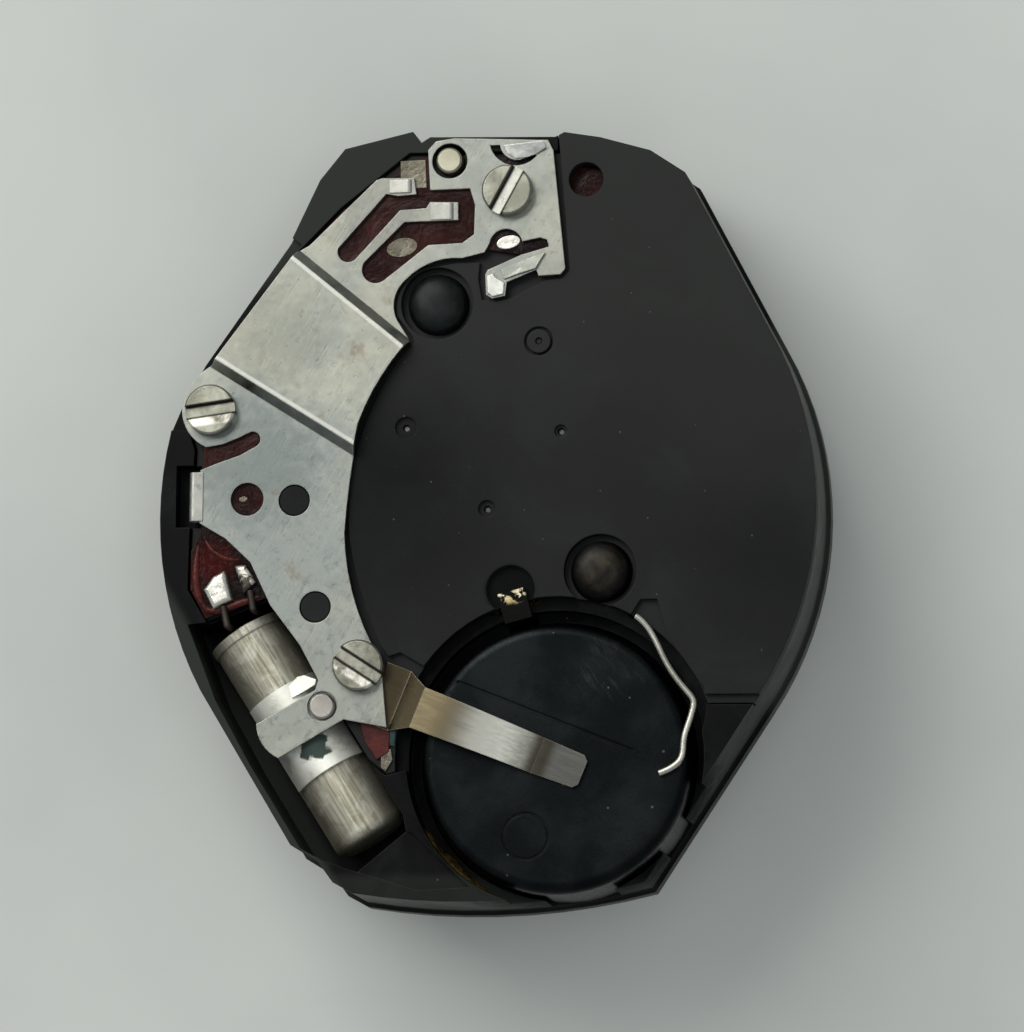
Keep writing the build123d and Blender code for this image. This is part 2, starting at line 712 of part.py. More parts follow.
# Main plate: the black moulded base that carries everything, hollowed from both sides
with BuildPart() as main_plate:
    extrude(movement_face(0, flange_step), amount=flange_height, dir=(0, 0, 1))
    extrude(movement_face(flange_height), amount=rim_height - flange_height, dir=(0, 0, 1))

    # Bed of the bridge and the circuit
    slab(bed_points, bridge_seat_height, above, Mode.SUBTRACT)

    # Lower rim beside the raised part of the contact plate
    low_wall_shares = [
        (-0.58, 0.69), (-0.75, 0.8), (-1.2, 0.6), (-1.2, 0.205), (-0.945, 0.213), (-0.87, 0.2),
    ]
    slab(spots(low_wall_shares), rim_height - low_rim_drop, above, Mode.SUBTRACT)

    # Battery well: a wide upper ring, the pocket for the cell, its ledge and its floor
    disc(well_place, well_radius, well_step_height, above, Mode.SUBTRACT)
    disc(well_place, cell_radius + cell_wall_gap, can_ledge_height, above, Mode.SUBTRACT)
    disc(well_place, cell_cap_radius + cell_gasket_width + side_gap, well_floor_height, above, Mode.SUBTRACT)

    # Hollow of the crystal
    slab(trough_points, trough_floor_height, above, Mode.SUBTRACT)

    # Low flat at the foot, beside the crystal
    foot_flat_shares = [(-0.385, -0.925), (-0.235, -0.82), (-0.215, -0.825), (-0.04, -0.965), (-0.2, -0.972)]
    slab(spots(foot_flat_shares), rim_height - low_rim_drop, above, Mode.SUBTRACT)

    # Rooms for the wheels
    for room_place, room_radius, room_floor in (
        (centre_place, centre_tip + wheel_room, train_floor_height),
        (third_place, third_tip + wheel_room, third_wheel_level - side_gap),
        (third_place, tip_radius(third_pinion_teeth, centre_module) + wheel_room, train_floor_height),
        (intermediate_place, intermediate_tip + wheel_room, seconds_wheel_level),
        (intermediate_place, hub_radius + wheel_room, train_floor_height),
        (rotor_place, stator_bore_radius + wheel_room, train_floor_height),
    ):
        disc(room_place, room_radius, room_floor, above, Mode.SUBTRACT)

    # Room for the stator, the core and the coil
    disc(rotor_place, stator_ring_radius + side_gap, stator_level, above, Mode.SUBTRACT)
    for limb_start, limb_end in stator_limbs:
        bar(limb_start, limb_end, stator_limb_width + side_gap * 2, stator_level, above, Mode.SUBTRACT)
    with BuildSketch(Plane.XY.offset(coil_axis_height - coil_cheek_radius - side_gap)):
        with Locations((coil_x, coil_y)):
            Rectangle(
                coil_cheek_radius * 2 + side_gap * 2,
                coil_length + coil_cheek_thickness * 2 + side_gap * 2,
            )
    extrude(amount=above, dir=(0, 0, 1), mode=Mode.SUBTRACT)
    for lug in (upper_lug, lower_lug):
        disc(lug, motor_screw_radius + seat_gap, stator_level - motor_screw_depth, above, Mode.SUBTRACT)

    # Lower bearings of the train
    for bearing_place in (intermediate_place, rotor_place, third_place):
        disc(bearing_place, pivot_radius + run_gap, train_floor_height - pivot_depth, above, Mode.SUBTRACT)
    disc(centre_place, centre_pipe_radius + run_gap, 0, above, Mode.SUBTRACT)

    # Keyless works: stem bore and chamber, rooms of the sliding pinion, the yoke and the setting lever
    rod(
        (0, chamber_start, stem_axis_height), (0, half_length + cut_overrun, stem_axis_height),
        stem_bore_radius, Mode.SUBTRACT,
    )
    chamber_corners = [
        (-stem_chamber_half, pinion_pocket_high - side_gap),
        (stem_chamber_half, pinion_pocket_high - side_gap),
        (stem_chamber_half, chamber_start),
        (-stem_chamber_half, chamber_start),
    ]
    slab(
        chamber_corners, stem_axis_height - stem_chamber_half, stem_axis_height + stem_chamber_half,
        Mode.SUBTRACT,
    )
    pinion_pocket = [
        (-pinion_pocket_half, pinion_pocket_low),
        (pinion_pocket_half, pinion_pocket_low),
        (pinion_pocket_half, pinion_pocket_high),
        (-pinion_pocket_half, pinion_pocket_high),
    ]
    slab(pinion_pocket, pinion_pocket_floor, above, Mode.SUBTRACT)
    slab(yoke_room, yoke_pocket_floor, above, Mode.SUBTRACT)
    disc(yoke_place, yoke_post_radius + seat_gap, yoke_level - yoke_post_depth, above, Mode.SUBTRACT)
    slab(spots(lever_room_shares), lever_pocket_floor, above, Mode.SUBTRACT)
    disc(lever_place, lever_boss_radius + side_gap, lever_pocket_floor, above, Mode.SUBTRACT)
    disc(
        lever_place, lever_journal_radius + run_gap, lever_level - lever_journal_depth - lift_gap, above,
        Mode.SUBTRACT,
    )
    stud_slot_shares = [(-0.024, 0.81), (0.039, 0.81), (0.039, 0.893), (-0.024, 0.893)]
    slab(spots(stud_slot_shares), stem_axis_height + wheel_room, above, Mode.SUBTRACT)

    # Room for the small terminal board of the coil, the bent tab at the left and the side spring
    slab(spots(terminal_shares), bridge_seat_height - board_thickness - lift_gap, above, Mode.SUBTRACT)
    slab(spots(tab_pocket_shares), plate_top_height - tab_drop - sheet_thickness * 3, above, Mode.SUBTRACT)
    slab(spots(spring_room_shares), bridge_seat_height, above, Mode.SUBTRACT)

    # Channel of the strip that touches the cap of the cell
    slab(channel_points, well_floor_height, above, Mode.SUBTRACT)

    # Holes for the screws of the contact plate
    for screw_place in screw_places:
        disc(
            screw_place, screw_hole_radius, rim_height - screw_shank_length - side_gap, above,
            Mode.SUBTRACT,
        )

    # Domed stakes that hold the bridge down
    dome_level = rim_height - dome_seat_depth
    for stake_place in stake_places:
        disc(stake_place, stake_radius, train_floor_height, dome_level)
        dome_base = (stake_place[0], stake_place[1], dome_level)
        with BuildSketch(Plane(dome_base, x_dir=(1, 0, 0), z_dir=(0, -1, 0))):
            with BuildLine():
                Polyline((0, dome_height), (0, 0), (dome_radius, 0))
                Spline((dome_radius, 0), (0, dome_height), tangents=((0, 1), (-1, 0)))
            make_face()
        revolve(axis=Axis((stake_place[0], stake_place[1], 0), (0, 0, 1)))

    # Dial side: recess of the cover and rooms of the motion works
    for cover_place, cover_radius in cover_fields:
        disc(cover_place, cover_radius + side_gap, 0, cover_seat_height, Mode.SUBTRACT)
    for room_place, room_radius in (
        (centre_place, hour_tip + wheel_room),
        (minute_place, minute_tip + wheel_room),
        (setting_place, setting_tip + wheel_room),
    ):
        disc(room_place, room_radius, 0, motion_ceiling_height, Mode.SUBTRACT)
    for post_place in (minute_place, setting_place):
        disc(
            post_place, minute_post_radius + seat_gap, motion_ceiling_height,
            cover_seat_height + motion_post_height + seat_gap, Mode.SUBTRACT,
        )
    for screw_place in cover_screw_places:
        disc(
            screw_place, cover_screw_shank_radius + seat_gap, 0,
            cover_seat_height + cover_screw_shank_length + side_gap, Mode.SUBTRACT,
        )
    for foot_place in foot_places:
        disc(foot_place, dial_foot_radius, 0, dial_foot_depth, Mode.SUBTRACT)
main_plate.part.label = "main_plate"
export_step(main_plate.part, "parts/main_plate.step")

# Train bridge: the black cover over the wheels, with a thin flange that carries the circuit
with BuildPart() as train_bridge:
    with BuildSketch(Plane.XY.offset(bridge_seat_height)):
        Polygon(*bed_points, align=None)
        offset(amount=-side_gap, kind=Kind.INTERSECTION)
    extrude(amount=board_seat_height - bridge_seat_height, dir=(0, 0, 1))
    traced_slab(bridge_outline_shares, board_seat_height, rim_height)
    extrude(
        movement_face(bridge_seat_height), amount=rim_height - bridge_seat_height, dir=(0, 0, 1),
        mode=Mode.INTERSECT,
    )
    for stud_place in stud_places:
        disc(stud_place, stud_radius, bridge_seat_height, board_seat_height + stud_height)

    # Clearances for the cell, the crystal, the bent tab, the side spring and the lower contact
    disc(well_place, well_radius + bridge_well_step, 0, above, Mode.SUBTRACT)
    slab(trough_points, 0, above, Mode.SUBTRACT)
    slab(spots(tab_pocket_shares), 0, above, Mode.SUBTRACT)
    slab(spots(spring_room_shares), board_seat_height, above, Mode.SUBTRACT)
    disc(contact_notch_place, contact_notch_radius, board_seat_height, above, Mode.SUBTRACT)

    # Holes and seats
    for screw_place in screw_places:
        disc(screw_place, screw_hole_radius, 0, above, Mode.SUBTRACT)
    for stake_place in stake_places:
        disc(stake_place, stake_radius + run_gap, 0, above, Mode.SUBTRACT)
        disc(stake_place, dome_seat_radius, rim_height - dome_seat_depth, above, Mode.SUBTRACT)
    disc(lever_place, lever_pin_radius + run_gap, 0, above, Mode.SUBTRACT)
    disc(bridge_hole_place, bridge_hole_radius, 0, above, Mode.SUBTRACT)

    # Upper bearings of the train, each with its oil sink, and the seat of the rotor bearing
    for bearing_place, sink_radius in (
        (centre_place, oil_sink_radius),
        (third_place, oil_sink_radius + wheel_room / 2),
        (intermediate_place, oil_sink_radius - wheel_room / 2),
    ):
        disc(bearing_place, pivot_radius + run_gap, 0, above, Mode.SUBTRACT)
        disc(bearing_place, sink_radius, rim_height - oil_sink_depth, above, Mode.SUBTRACT)
    disc(rotor_place, arbor_radius + run_gap, 0, above, Mode.SUBTRACT)
    disc(
        rotor_place, bearing_bush_radius + seat_gap, rim_height - bearing_bush_thickness, above,
        Mode.SUBTRACT,
    )
    disc(rotor_place, bearing_ring_radius, rim_height - bearing_ring_depth, above, Mode.SUBTRACT)
train_bridge.part.label = "train_bridge"
export_step(train_bridge.part, "parts/train_bridge.step")

# Bearing bush of the rotor, let into the bridge
with BuildPart() as rotor_bearing:
    disc(rotor_place, bearing_bush_radius, rim_height - bearing_bush_thickness, rim_height)
    disc(rotor_place, pivot_radius + run_gap, 0, above, Mode.SUBTRACT)
rotor_bearing.part.label = "rotor_bearing"
export_step(rotor_bearing.part, "parts/rotor_bearing.step")

# Circuit board: thin dark laminate on the flange of the bridge
with BuildPart() as circuit_board:
    traced_slab(board_outline_shares, board_seat_height, rim_height)
    for screw_place in screw_places:
        disc(screw_place, screw_hole_radius, 0, above, Mode.SUBTRACT)
    for stud_place in stud_places:
        disc(stud_place, stud_hole_radius, 0, above, Mode.SUBTRACT)
    disc(lever_place, lever_hole_radius, 0, above, Mode.SUBTRACT)
circuit_board.part.label = "circuit_board"
export_step(circuit_board.part, "parts/circuit_board.step")

# Chip of the circuit, sealed in resin below the raised part of the sheet
step_angle = math.degrees(
    math.atan2(
        (step_line_shares[1][1][1] - step_line_shares[1][0][1]) * half_length,
        (step_line_shares[1][1][0] - step_line_shares[1][0][0]) * half_width,
    )
)
chip_place = spot((-0.47, 0.36))
with BuildPart() as ic_chip:
    with BuildSketch(Plane.XY.offset(rim_height)):
        with Locations(chip_place):
            Rectangle(chip_side, chip_side, rotation=step_angle)
    extrude(amount=chip_height, dir=(0, 0, 1))
    chamfer(ic_chip.edges().group_by(Axis.Z)[-1], chip_edge)
ic_chip.part.label = "ic_chip"
export_step(ic_chip.part, "parts/ic_chip.step")

# Terminal board of the coil, seen through the round hole of the bridge
with BuildPart() as coil_terminal_board:
    with BuildSketch(Plane.XY.offset(bridge_seat_height - board_thickness - lift_gap)):
        Polygon(*spots(terminal_shares), align=None)
        offset(amount=-side_gap, kind=Kind.INTERSECTION)
    extrude(amount=board_thickness, dir=(0, 0, 1))
coil_terminal_board.part.label = "coil_terminal_board"
export_step(coil_terminal_board.part, "parts/coil_terminal_board.step")


def line_frame(shares):
    """Middle, direction and left-hand normal angle of a line given by two places."""
    start, end = spots(shares)
    middle = ((start[0] + end[0]) / 2, (start[1] + end[1]) / 2)
    angle = math.degrees(math.atan2(end[1] - start[1], end[0] - start[0]))
    return middle, angle, angle + 90


# Contact plate: one stamped spring sheet that holds the circuit and carries the plus side of the cell
with BuildPart() as contact_plate:
    raised_level = rim_height + raised_step
    raised_corners = []
    for shares in step_line_shares:
        middle, angle, normal = line_frame(shares)
        outer_corners = [
            step_from(middle, movement_length, angle),
            step_from(middle, -movement_length, angle),
        ]
        outer_corners.append(step_from(outer_corners[1], -movement_length, normal))
        outer_corners.append(step_from(outer_corners[0], -movement_length, normal))
        slab(outer_corners, rim_height, plate_top_height)
        inner_middle = step_from(middle, step_run, normal)
        raised_corners.append(step_from(inner_middle, -half_width, angle))
        raised_corners.append(step_from(inner_middle, half_width, angle))
    slab(raised_corners, raised_level, raised_level + sheet_thickness)
    for shares in step_line_shares:
        middle, angle, normal = line_frame(shares)
        with BuildSketch(upright_plane(middle, normal)):
            Polygon(
                (0, rim_height),
                (0, plate_top_height),
                (step_run, raised_level + sheet_thickness),
                (step_run, raised_level),
                align=None,
            )
        extrude(amount=half_width, both=True)
    tab_line = half_width * tab_line_share
    tab_low = half_length * tab_low_share
    tab_high = half_length * tab_high_share
    slab(
        [
            (tab_line, tab_low - side_gap),
            (tab_line, tab_high + side_gap * 2),
            (-movement_width, tab_high + side_gap * 2),
            (-movement_width, tab_low - side_gap),
        ],
        0, above, Mode.SUBTRACT,
    )
    traced_slab(contact_outline_shares, 0, above, Mode.INTERSECT)
    with BuildSketch(Plane.XZ.offset(-tab_high)):
        Polygon(
            (tab_line, rim_height),
            (tab_line, plate_top_height),
            (tab_line - tab_run, plate_top_height - tab_drop),
            (tab_line - tab_run, rim_height - tab_drop),
            align=None,
        )
    extrude(amount=tab_high - tab_low)
    for screw_place in screw_places:
        disc(screw_place, screw_hole_radius, 0, above, Mode.SUBTRACT)
    for stud_place in stud_places:
        disc(stud_place, stud_hole_radius, 0, above, Mode.SUBTRACT)
    disc(lever_place, lever_hole_radius, 0, above, Mode.SUBTRACT)
    disc(test_hole_place, plate_hole_radius, 0, above, Mode.SUBTRACT)
    disc(rivet_place, rivet_radius + rivet_gap, 0, above, Mode.SUBTRACT)
    traced_slab(tongue_slot_shares, 0, above, Mode.SUBTRACT)
contact_plate.part.label = "contact_plate"
export_step(contact_plate.part, "parts/contact_plate.step")

# Screws of the contact plate
screw_names = ("plate_screw_upper", "plate_screw_left", "plate_screw_lower")
for screw_name, screw_place, slot_angle in zip(screw_names, screw_places, screw_slot_angles):
    with BuildPart() as plate_screw:
        disc(screw_place, screw_head_radius, plate_top_height, plate_top_height + screw_head_height)
        chamfer(plate_screw.edges().group_by(Axis.Z)[-1], screw_edge)
        disc(screw_place, screw_shank_radius, rim_height - screw_shank_length, plate_top_height)
        with BuildSketch(Plane.XY.offset(plate_top_height + screw_head_height - screw_slot_depth)):
            with Locations(screw_place):
                Rectangle(screw_head_radius * 3, screw_slot_width, rotation=slot_angle)
        extrude(amount=screw_head_height, dir=(0, 0, 1), mode=Mode.SUBTRACT)
    plate_screw.part.label = screw_name
    export_step(plate_screw.part, f"parts/{screw_name}.step")

# Rivet on the arm over the crystal
with BuildPart() as clip_rivet:
    rivet_top = rim_height - seat_gap
    rivet_low = rivet_top - rivet_foot_height
    disc(rivet_place, rivet_foot_radius, rivet_low, rivet_top)
    disc(rivet_place, rivet_radius, rivet_low, plate_top_height + rivet_height)
    chamfer(clip_rivet.edges().group_by(Axis.Z)[-1], screw_edge)
clip_rivet.part.label = "clip_rivet"
export_step(clip_rivet.part, "parts/clip_rivet.step")

# Crystal can: a drawn tube with a closed far end and a small collar at its mouth
with BuildPart() as crystal_can:
    rod(
        crystal_point(0, 0, crystal_axis_height), crystal_point(crystal_length, 0, crystal_axis_height),
        crystal_radius,
    )
    far_edge = crystal_can.edges().filter_by(GeomType.CIRCLE).sort_by(Axis.Y)[0]
    fillet(far_edge, crystal_end_rounding)
    rod(
        crystal_point(0, 0, crystal_axis_height),
        crystal_point(crystal_collar_length, 0, crystal_axis_height),
        crystal_radius + crystal_collar_step,
    )
    rod(
        crystal_point(0, 0, crystal_axis_height),
        crystal_point(crystal_header_length, 0, crystal_axis_height),
        crystal_header_radius + seat_gap, Mode.SUBTRACT,
    )
crystal_can.part.label = "crystal_can"
export_step(crystal_can.part, "parts/crystal_can.step")

# Header of the crystal, with the two holes of its leads
with BuildPart() as crystal_header:
    header_face = -crystal_header_proud
    rod(
        crystal_point(header_face, 0, crystal_axis_height),
        crystal_point(crystal_header_length - seat_gap, 0, crystal_axis_height),
        crystal_header_radius,
    )
crystal_header.part.label = "crystal_header"
export_step(crystal_header.part, "parts/crystal_header.step")

# Solder on the two pads, and the bent leads that run up to them from the header
lead_height = rim_height + crystal_lead_radius
solder_plans = {
    "outer": [(-0.862, -0.203), (-0.832, -0.169), (-0.798, -0.154), (-0.772, -0.229), (-0.83, -0.254)],
    "inner": [(-0.768, -0.142), (-0.732, -0.14), (-0.7, -0.185), (-0.74, -0.219)],
}
lead_ends = {"outer": (-0.801, -0.246), "inner": (-0.72, -0.206)}
lead_across = {"outer": outer_lead_across, "inner": inner_lead_across}
for side in ("outer", "inner"):
    with BuildPart() as solder_pad:
        slab(spots(solder_plans[side]), rim_height, rim_height + solder_height)
        fillet(solder_pad.edges().group_by(Axis.Z)[-1], solder_rounding)
    solder_pad.part.label = f"solder_pad_{side}"
    export_step(solder_pad.part, f"parts/solder_pad_{side}.step")
    lead_end = spot(lead_ends[side])
    lead_points = [
        crystal_point(header_face - seat_gap, lead_across[side], crystal_axis_height),
        crystal_point(-crystal_lead_reach, lead_across[side], crystal_axis_height),
        crystal_point(-crystal_lead_reach, lead_across[side], lead_height),
        (lead_end[0], lead_end[1], lead_height),
    ]
    with BuildPart() as crystal_lead:
        for lead_start, lead_stop in zip(lead_points[:-1], lead_points[1:]):
            rod(lead_start, lead_stop, crystal_lead_radius)
        for lead_corner in lead_points[1:-1]:
            with Locations(lead_corner):
                Sphere(crystal_lead_radius)
    crystal_lead.part.label = f"crystal_lead_{side}"
    export_step(crystal_lead.part, f"parts/crystal_lead_{side}.step")

# Clip band bent over the upper side of the crystal
with BuildPart() as crystal_clip:
    band_start = crystal_point(clip_start, 0, crystal_axis_height)
    band_end = crystal_point(clip_start + clip_length, 0, crystal_axis_height)
    rod(band_start, band_end, crystal_radius + seat_gap + clip_thickness)
    rod(band_start, band_end, crystal_radius + seat_gap, Mode.SUBTRACT)
    wedge_reach = crystal_radius * 3
    band_turn = math.radians(clip_half_angle)
    with BuildSketch(upright_plane(crystal_spot(0, 0), crystal_angle + 90)):
        with Locations((0, crystal_axis_height)):
            Polygon(
                (0, 0),
                (wedge_reach * math.sin(band_turn), wedge_reach * math.cos(band_turn)),
                (0, wedge_reach),
                (-wedge_reach * math.sin(band_turn), wedge_reach * math.cos(band_turn)),
                align=None,
            )
    extrude(amount=crystal_length * 2, both=True, mode=Mode.INTERSECT)
crystal_clip.part.label = "crystal_clip"
export_step(crystal_clip.part, "parts/crystal_clip.step")

# Cell: the drawn can with its rounded edge, the gasket and the cap
with BuildPart() as cell_can:
    disc(well_place, cell_radius, can_ledge_height, cell_top_height)
    fillet(cell_can.edges().sort_by(Axis.Z)[-1], cell_edge_radius)
    disc(
        well_place, cell_cap_radius + cell_gasket_width, can_ledge_height,
        can_ledge_height + cell_cap_height, Mode.SUBTRACT,
    )
    groove_start = step_from(well_place, cell_radius * 0.92, 142.1)
    groove_end = step_from(well_place, cell_radius * 0.564, 5.6)
    bar(
        groove_start, groove_end, cell_groove_width, cell_top_height - cell_groove_depth, above,
        Mode.SUBTRACT,
    )
    with BuildSketch(Plane.XY.offset(cell_top_height - cell_mark_depth)):
        with Locations(step_from(well_place, cell_radius * 0.613, -110.5)):
            Circle(cell_mark_radius)
            Circle(cell_mark_radius - cell_mark_width, mode=Mode.SUBTRACT)
    extrude(amount=cut_overrun, dir=(0, 0, 1), mode=Mode.SUBTRACT)
cell_can.part.label = "cell_can"
export_step(cell_can.part, "parts/cell_can.step")

with BuildPart() as cell_gasket:
    gasket_low = (cap_face_height + can_ledge_height) / 2
    gasket_high = can_ledge_height + cell_cap_height - seat_gap
    disc(well_place, cell_cap_radius + cell_gasket_width - seat_gap, gasket_low, gasket_high)
    disc(well_place, cell_cap_radius + seat_gap, 0, above, Mode.SUBTRACT)
cell_gasket.part.label = "cell_gasket"
export_step(cell_gasket.part, "parts/cell_gasket.step")

with BuildPart() as cell_cap:
    disc(well_place, cell_cap_radius, cap_face_height, gasket_high)
    fillet(cell_cap.edges().sort_by(Axis.Z)[0], cell_cap_rounding)
cell_cap.part.label = "cell_cap"
export_step(cell_cap.part, "parts/cell_cap.step")

# Battery strap: a bent spring leaf welded under the contact plate, its flat tip on the cell
with BuildPart() as battery_strap:
    strap_low = rim_height - strap_thickness
    tip_low = cell_top_height
    fold_at = strap_flat_length + strap_slope_length
    arch_end_at = fold_at + strap_arch_length
    strap_end_at = arch_end_at + strap_tip_length
    arch_middle = fold_at + strap_arch_length / 2
    fold_low = strap_low + strap_rise
    with BuildSketch(upright_plane(strap_place, strap_angle)):
        with BuildLine():
            Polyline(
                (arch_end_at, tip_low + strap_thickness),
                (strap_end_at, tip_low + strap_thickness),
                (strap_end_at, tip_low),
                (arch_end_at, tip_low),
            )
            ThreePointArc(
                (arch_end_at, tip_low), (arch_middle, fold_low + strap_arch_lift), (fold_at, fold_low)
            )
            Polyline(
                (fold_at, fold_low),
                (strap_flat_length, strap_low),
                (-strap_root_length, strap_low),
                (-strap_root_length, rim_height),
                (strap_flat_length, rim_height),
                (fold_at, fold_low + strap_thickness),
            )
            ThreePointArc(
                (fold_at, fold_low + strap_thickness),
                (arch_middle, fold_low + strap_arch_lift + strap_thickness),
                (arch_end_at, tip_low + strap_thickness),
            )
        make_face()
    extrude(amount=strap_root_width, both=True)
    strap_plan = [
        (-strap_root_length, strap_root_width / 2),
        (strap_flat_length, strap_root_width / 2),
        (fold_at, strap_fold_width / 2),
        (arch_end_at, strap_neck_width / 2),
        (strap_end_at - strap_tip_rounding, strap_tip_width / 2),
        (strap_end_at, strap_tip_width / 2 - strap_tip_rounding),
    ]
    strap_plan += [(along, -across) for along, across in reversed(strap_plan)]
    slab(
        [step_from(step_from(strap_place, along, strap_angle), across, strap_angle + 90)
         for along, across in strap_plan],
        0, above, Mode.INTERSECT,
    )
battery_strap.part.label = "battery_strap"
export_step(battery_strap.part, "parts/battery_strap.step")

# Side spring: a bent wire, one end let into the bridge, the free end on the edge of the cell
spring_shares = [
    (0.456, -0.278), (0.505, -0.324), (0.539, -0.381), (0.567, -0.422), (0.615, -0.473), (0.631, -0.493),
    (0.628, -0.524), (0.619, -0.549), (0.604, -0.594), (0.593, -0.645), (0.569, -0.663), (0.53, -0.678),
]
with BuildPart() as side_spring:
    spring_level = cell_top_height + spring_wire_radius + seat_gap / 2
    with BuildLine() as spring_path:
        Spline(*[(x, y, spring_level) for x, y in spots(spring_shares)])
    with BuildSketch(Plane(spring_path.line @ 0, z_dir=spring_path.line % 0)):
        Circle(spring_wire_radius)
    sweep(path=spring_path.line)
side_spring.part.label = "side_spring"
export_step(side_spring.part, "parts/side_spring.step")

# Lower contact: a strip below the cap that rises at the wall of the well and ends in the notch
with BuildPart() as negative_contact:
    strip_high = well_floor_height + contact_strip_thickness
    flag_low = board_seat_height + seat_gap
    with BuildSketch(upright_plane(well_place, contact_angle)):
        Polygon(
            (-contact_strip_tail, well_floor_height),
            (riser_radius + contact_strip_thickness, well_floor_height),
            (riser_radius + contact_strip_thickness, flag_low),
            (riser_radius + contact_terminal_length, flag_low),
            (riser_radius + contact_terminal_length, flag_low + contact_strip_thickness),
            (riser_radius, flag_low + contact_strip_thickness),
            (riser_radius, strip_high),
            (-contact_strip_tail, strip_high),
            align=None,
        )
    extrude(amount=contact_strip_width / 2, both=True)
negative_contact.part.label = "negative_contact"
export_step(negative_contact.part, "parts/negative_contact.step")

# Stator of the motor, its core, the winding and its cheeks
with BuildPart() as stator:
    disc(rotor_place, stator_ring_radius, stator_level, core_level)
    for limb_start, limb_end in stator_limbs:
        bar(limb_start, limb_end, stator_limb_width, stator_level, core_level)
    disc(rotor_place, stator_bore_radius, 0, above, Mode.SUBTRACT)
    for notch_angle in stator_notch_angles:
        disc(
            step_from(rotor_place, stator_bore_radius, notch_angle), stator_notch_radius, 0, above,
            Mode.SUBTRACT,
        )
    for lug in (upper_lug, lower_lug):
        disc(lug, motor_screw_radius + seat_gap, 0, above, Mode.SUBTRACT)
stator.part.label = "stator"
export_step(stator.part, "parts/stator.step")

with BuildPart() as coil_core:
    bar(lower_lug, upper_lug, core_width, core_level, core_level + core_thickness)
    for lug in (upper_lug, lower_lug):
        disc(lug, motor_screw_radius + seat_gap, 0, above, Mode.SUBTRACT)
coil_core.part.label = "coil_core"
export_step(coil_core.part, "parts/coil_core.step")

coil_pieces = (
    ("coil_winding", coil_foot, coil_top, coil_radius),
    ("coil_cheek_upper", coil_top, coil_top + coil_cheek_thickness, coil_cheek_radius),
    ("coil_cheek_lower", coil_foot - coil_cheek_thickness, coil_foot, coil_cheek_radius),
)
for piece_name, piece_start, piece_end, piece_radius in coil_pieces:
    with BuildPart() as coil_piece:
        rod((coil_x, piece_start, coil_axis_height), (coil_x, piece_end, coil_axis_height), piece_radius)
        with BuildSketch(Plane.XY.offset(core_level - seat_gap)):
            with Locations((coil_x, coil_y)):
                Rectangle(core_width + seat_gap * 2, coil_length * 2)
        extrude(amount=core_thickness + seat_gap * 2, dir=(0, 0, 1), mode=Mode.SUBTRACT)
    coil_piece.part.label = piece_name
    export_step(coil_piece.part, f"parts/{piece_name}.step")

for screw_name, lug in (("motor_screw_upper", upper_lug), ("motor_screw_lower", lower_lug)):
    with BuildPart() as motor_screw:
        core_top = core_level + core_thickness
        disc(lug, motor_screw_head_radius, core_top, core_top + motor_screw_head_height)
        disc(lug, motor_screw_radius, stator_level - motor_screw_depth + seat_gap, core_top)
    motor_screw.part.label = screw_name
    export_step(motor_screw.part, f"parts/{screw_name}.step")

# Rotor: the magnet on its arbor, and the pinion cut in one with the arbor
magnet_level = train_floor_height + magnet_lift
rotor_pinion_level = intermediate_wheel_level + wheel_thickness / 2 - rotor_pinion_height / 2
with BuildPart() as rotor_magnet:
    disc(rotor_place, magnet_radius, magnet_level, magnet_level + magnet_height)
    disc(rotor_place, arbor_radius + seat_gap, 0, above, Mode.SUBTRACT)
rotor_magnet.part.label = "rotor_magnet"
export_step(rotor_magnet.part, "parts/rotor_magnet.step")

with BuildPart() as rotor_arbor:
    disc(rotor_place, pivot_radius, pivot_level, shoulder_level)
    disc(rotor_place, arbor_radius, shoulder_level, upper_shoulder)
    disc(rotor_place, pivot_radius, upper_shoulder, rim_height - shoulder_play)
    slab(
        gear_points(
            rotor_place, rotor_pinion_teeth, rotor_module,
            mating_phase(rotor_bearing_angle, rotor_pinion_teeth),
        ),
        rotor_pinion_level, rotor_pinion_level + rotor_pinion_height,
    )
rotor_arbor.part.label = "rotor_arbor"
export_step(rotor_arbor.part, "parts/rotor_arbor.step")

# Intermediate wheel and its pinion
intermediate_pinion_level = seconds_wheel_level + wheel_thickness / 2 - intermediate_pinion_height / 2
with BuildPart() as intermediate_wheel:
    slab(
        gear_points(intermediate_place, intermediate_wheel_teeth, rotor_module, rotor_bearing_angle),
        intermediate_wheel_level, intermediate_wheel_level + wheel_thickness,
    )
    open_spokes(intermediate_place, intermediate_wheel_teeth, rotor_module, 0, above)
    disc(intermediate_place, wheel_seat_radius + seat_gap, 0, above, Mode.SUBTRACT)
intermediate_wheel.part.label = "intermediate_wheel"
export_step(intermediate_wheel.part, "parts/intermediate_wheel.step")

with BuildPart() as intermediate_pinion:
    pinion_top = intermediate_pinion_level + intermediate_pinion_height
    disc(intermediate_place, pivot_radius, pivot_level, shoulder_level)
    disc(intermediate_place, thin_arbor_radius, shoulder_level, pinion_top)
    slab(
        gear_points(
            intermediate_place, intermediate_pinion_teeth, seconds_module,
            mating_phase(intermediate_bearing_angle, intermediate_pinion_teeth),
        ),
        intermediate_pinion_level, pinion_top,
    )
    disc(intermediate_place, hub_radius, pinion_top, intermediate_wheel_level)
    disc(intermediate_place, wheel_seat_radius, pinion_top, intermediate_wheel_level + wheel_thickness)
    disc(intermediate_place, arbor_radius, pinion_top, upper_shoulder)
    disc(intermediate_place, pivot_radius, upper_shoulder, pivot_top)
intermediate_pinion.part.label = "intermediate_pinion"
export_step(intermediate_pinion.part, "parts/intermediate_pinion.step")

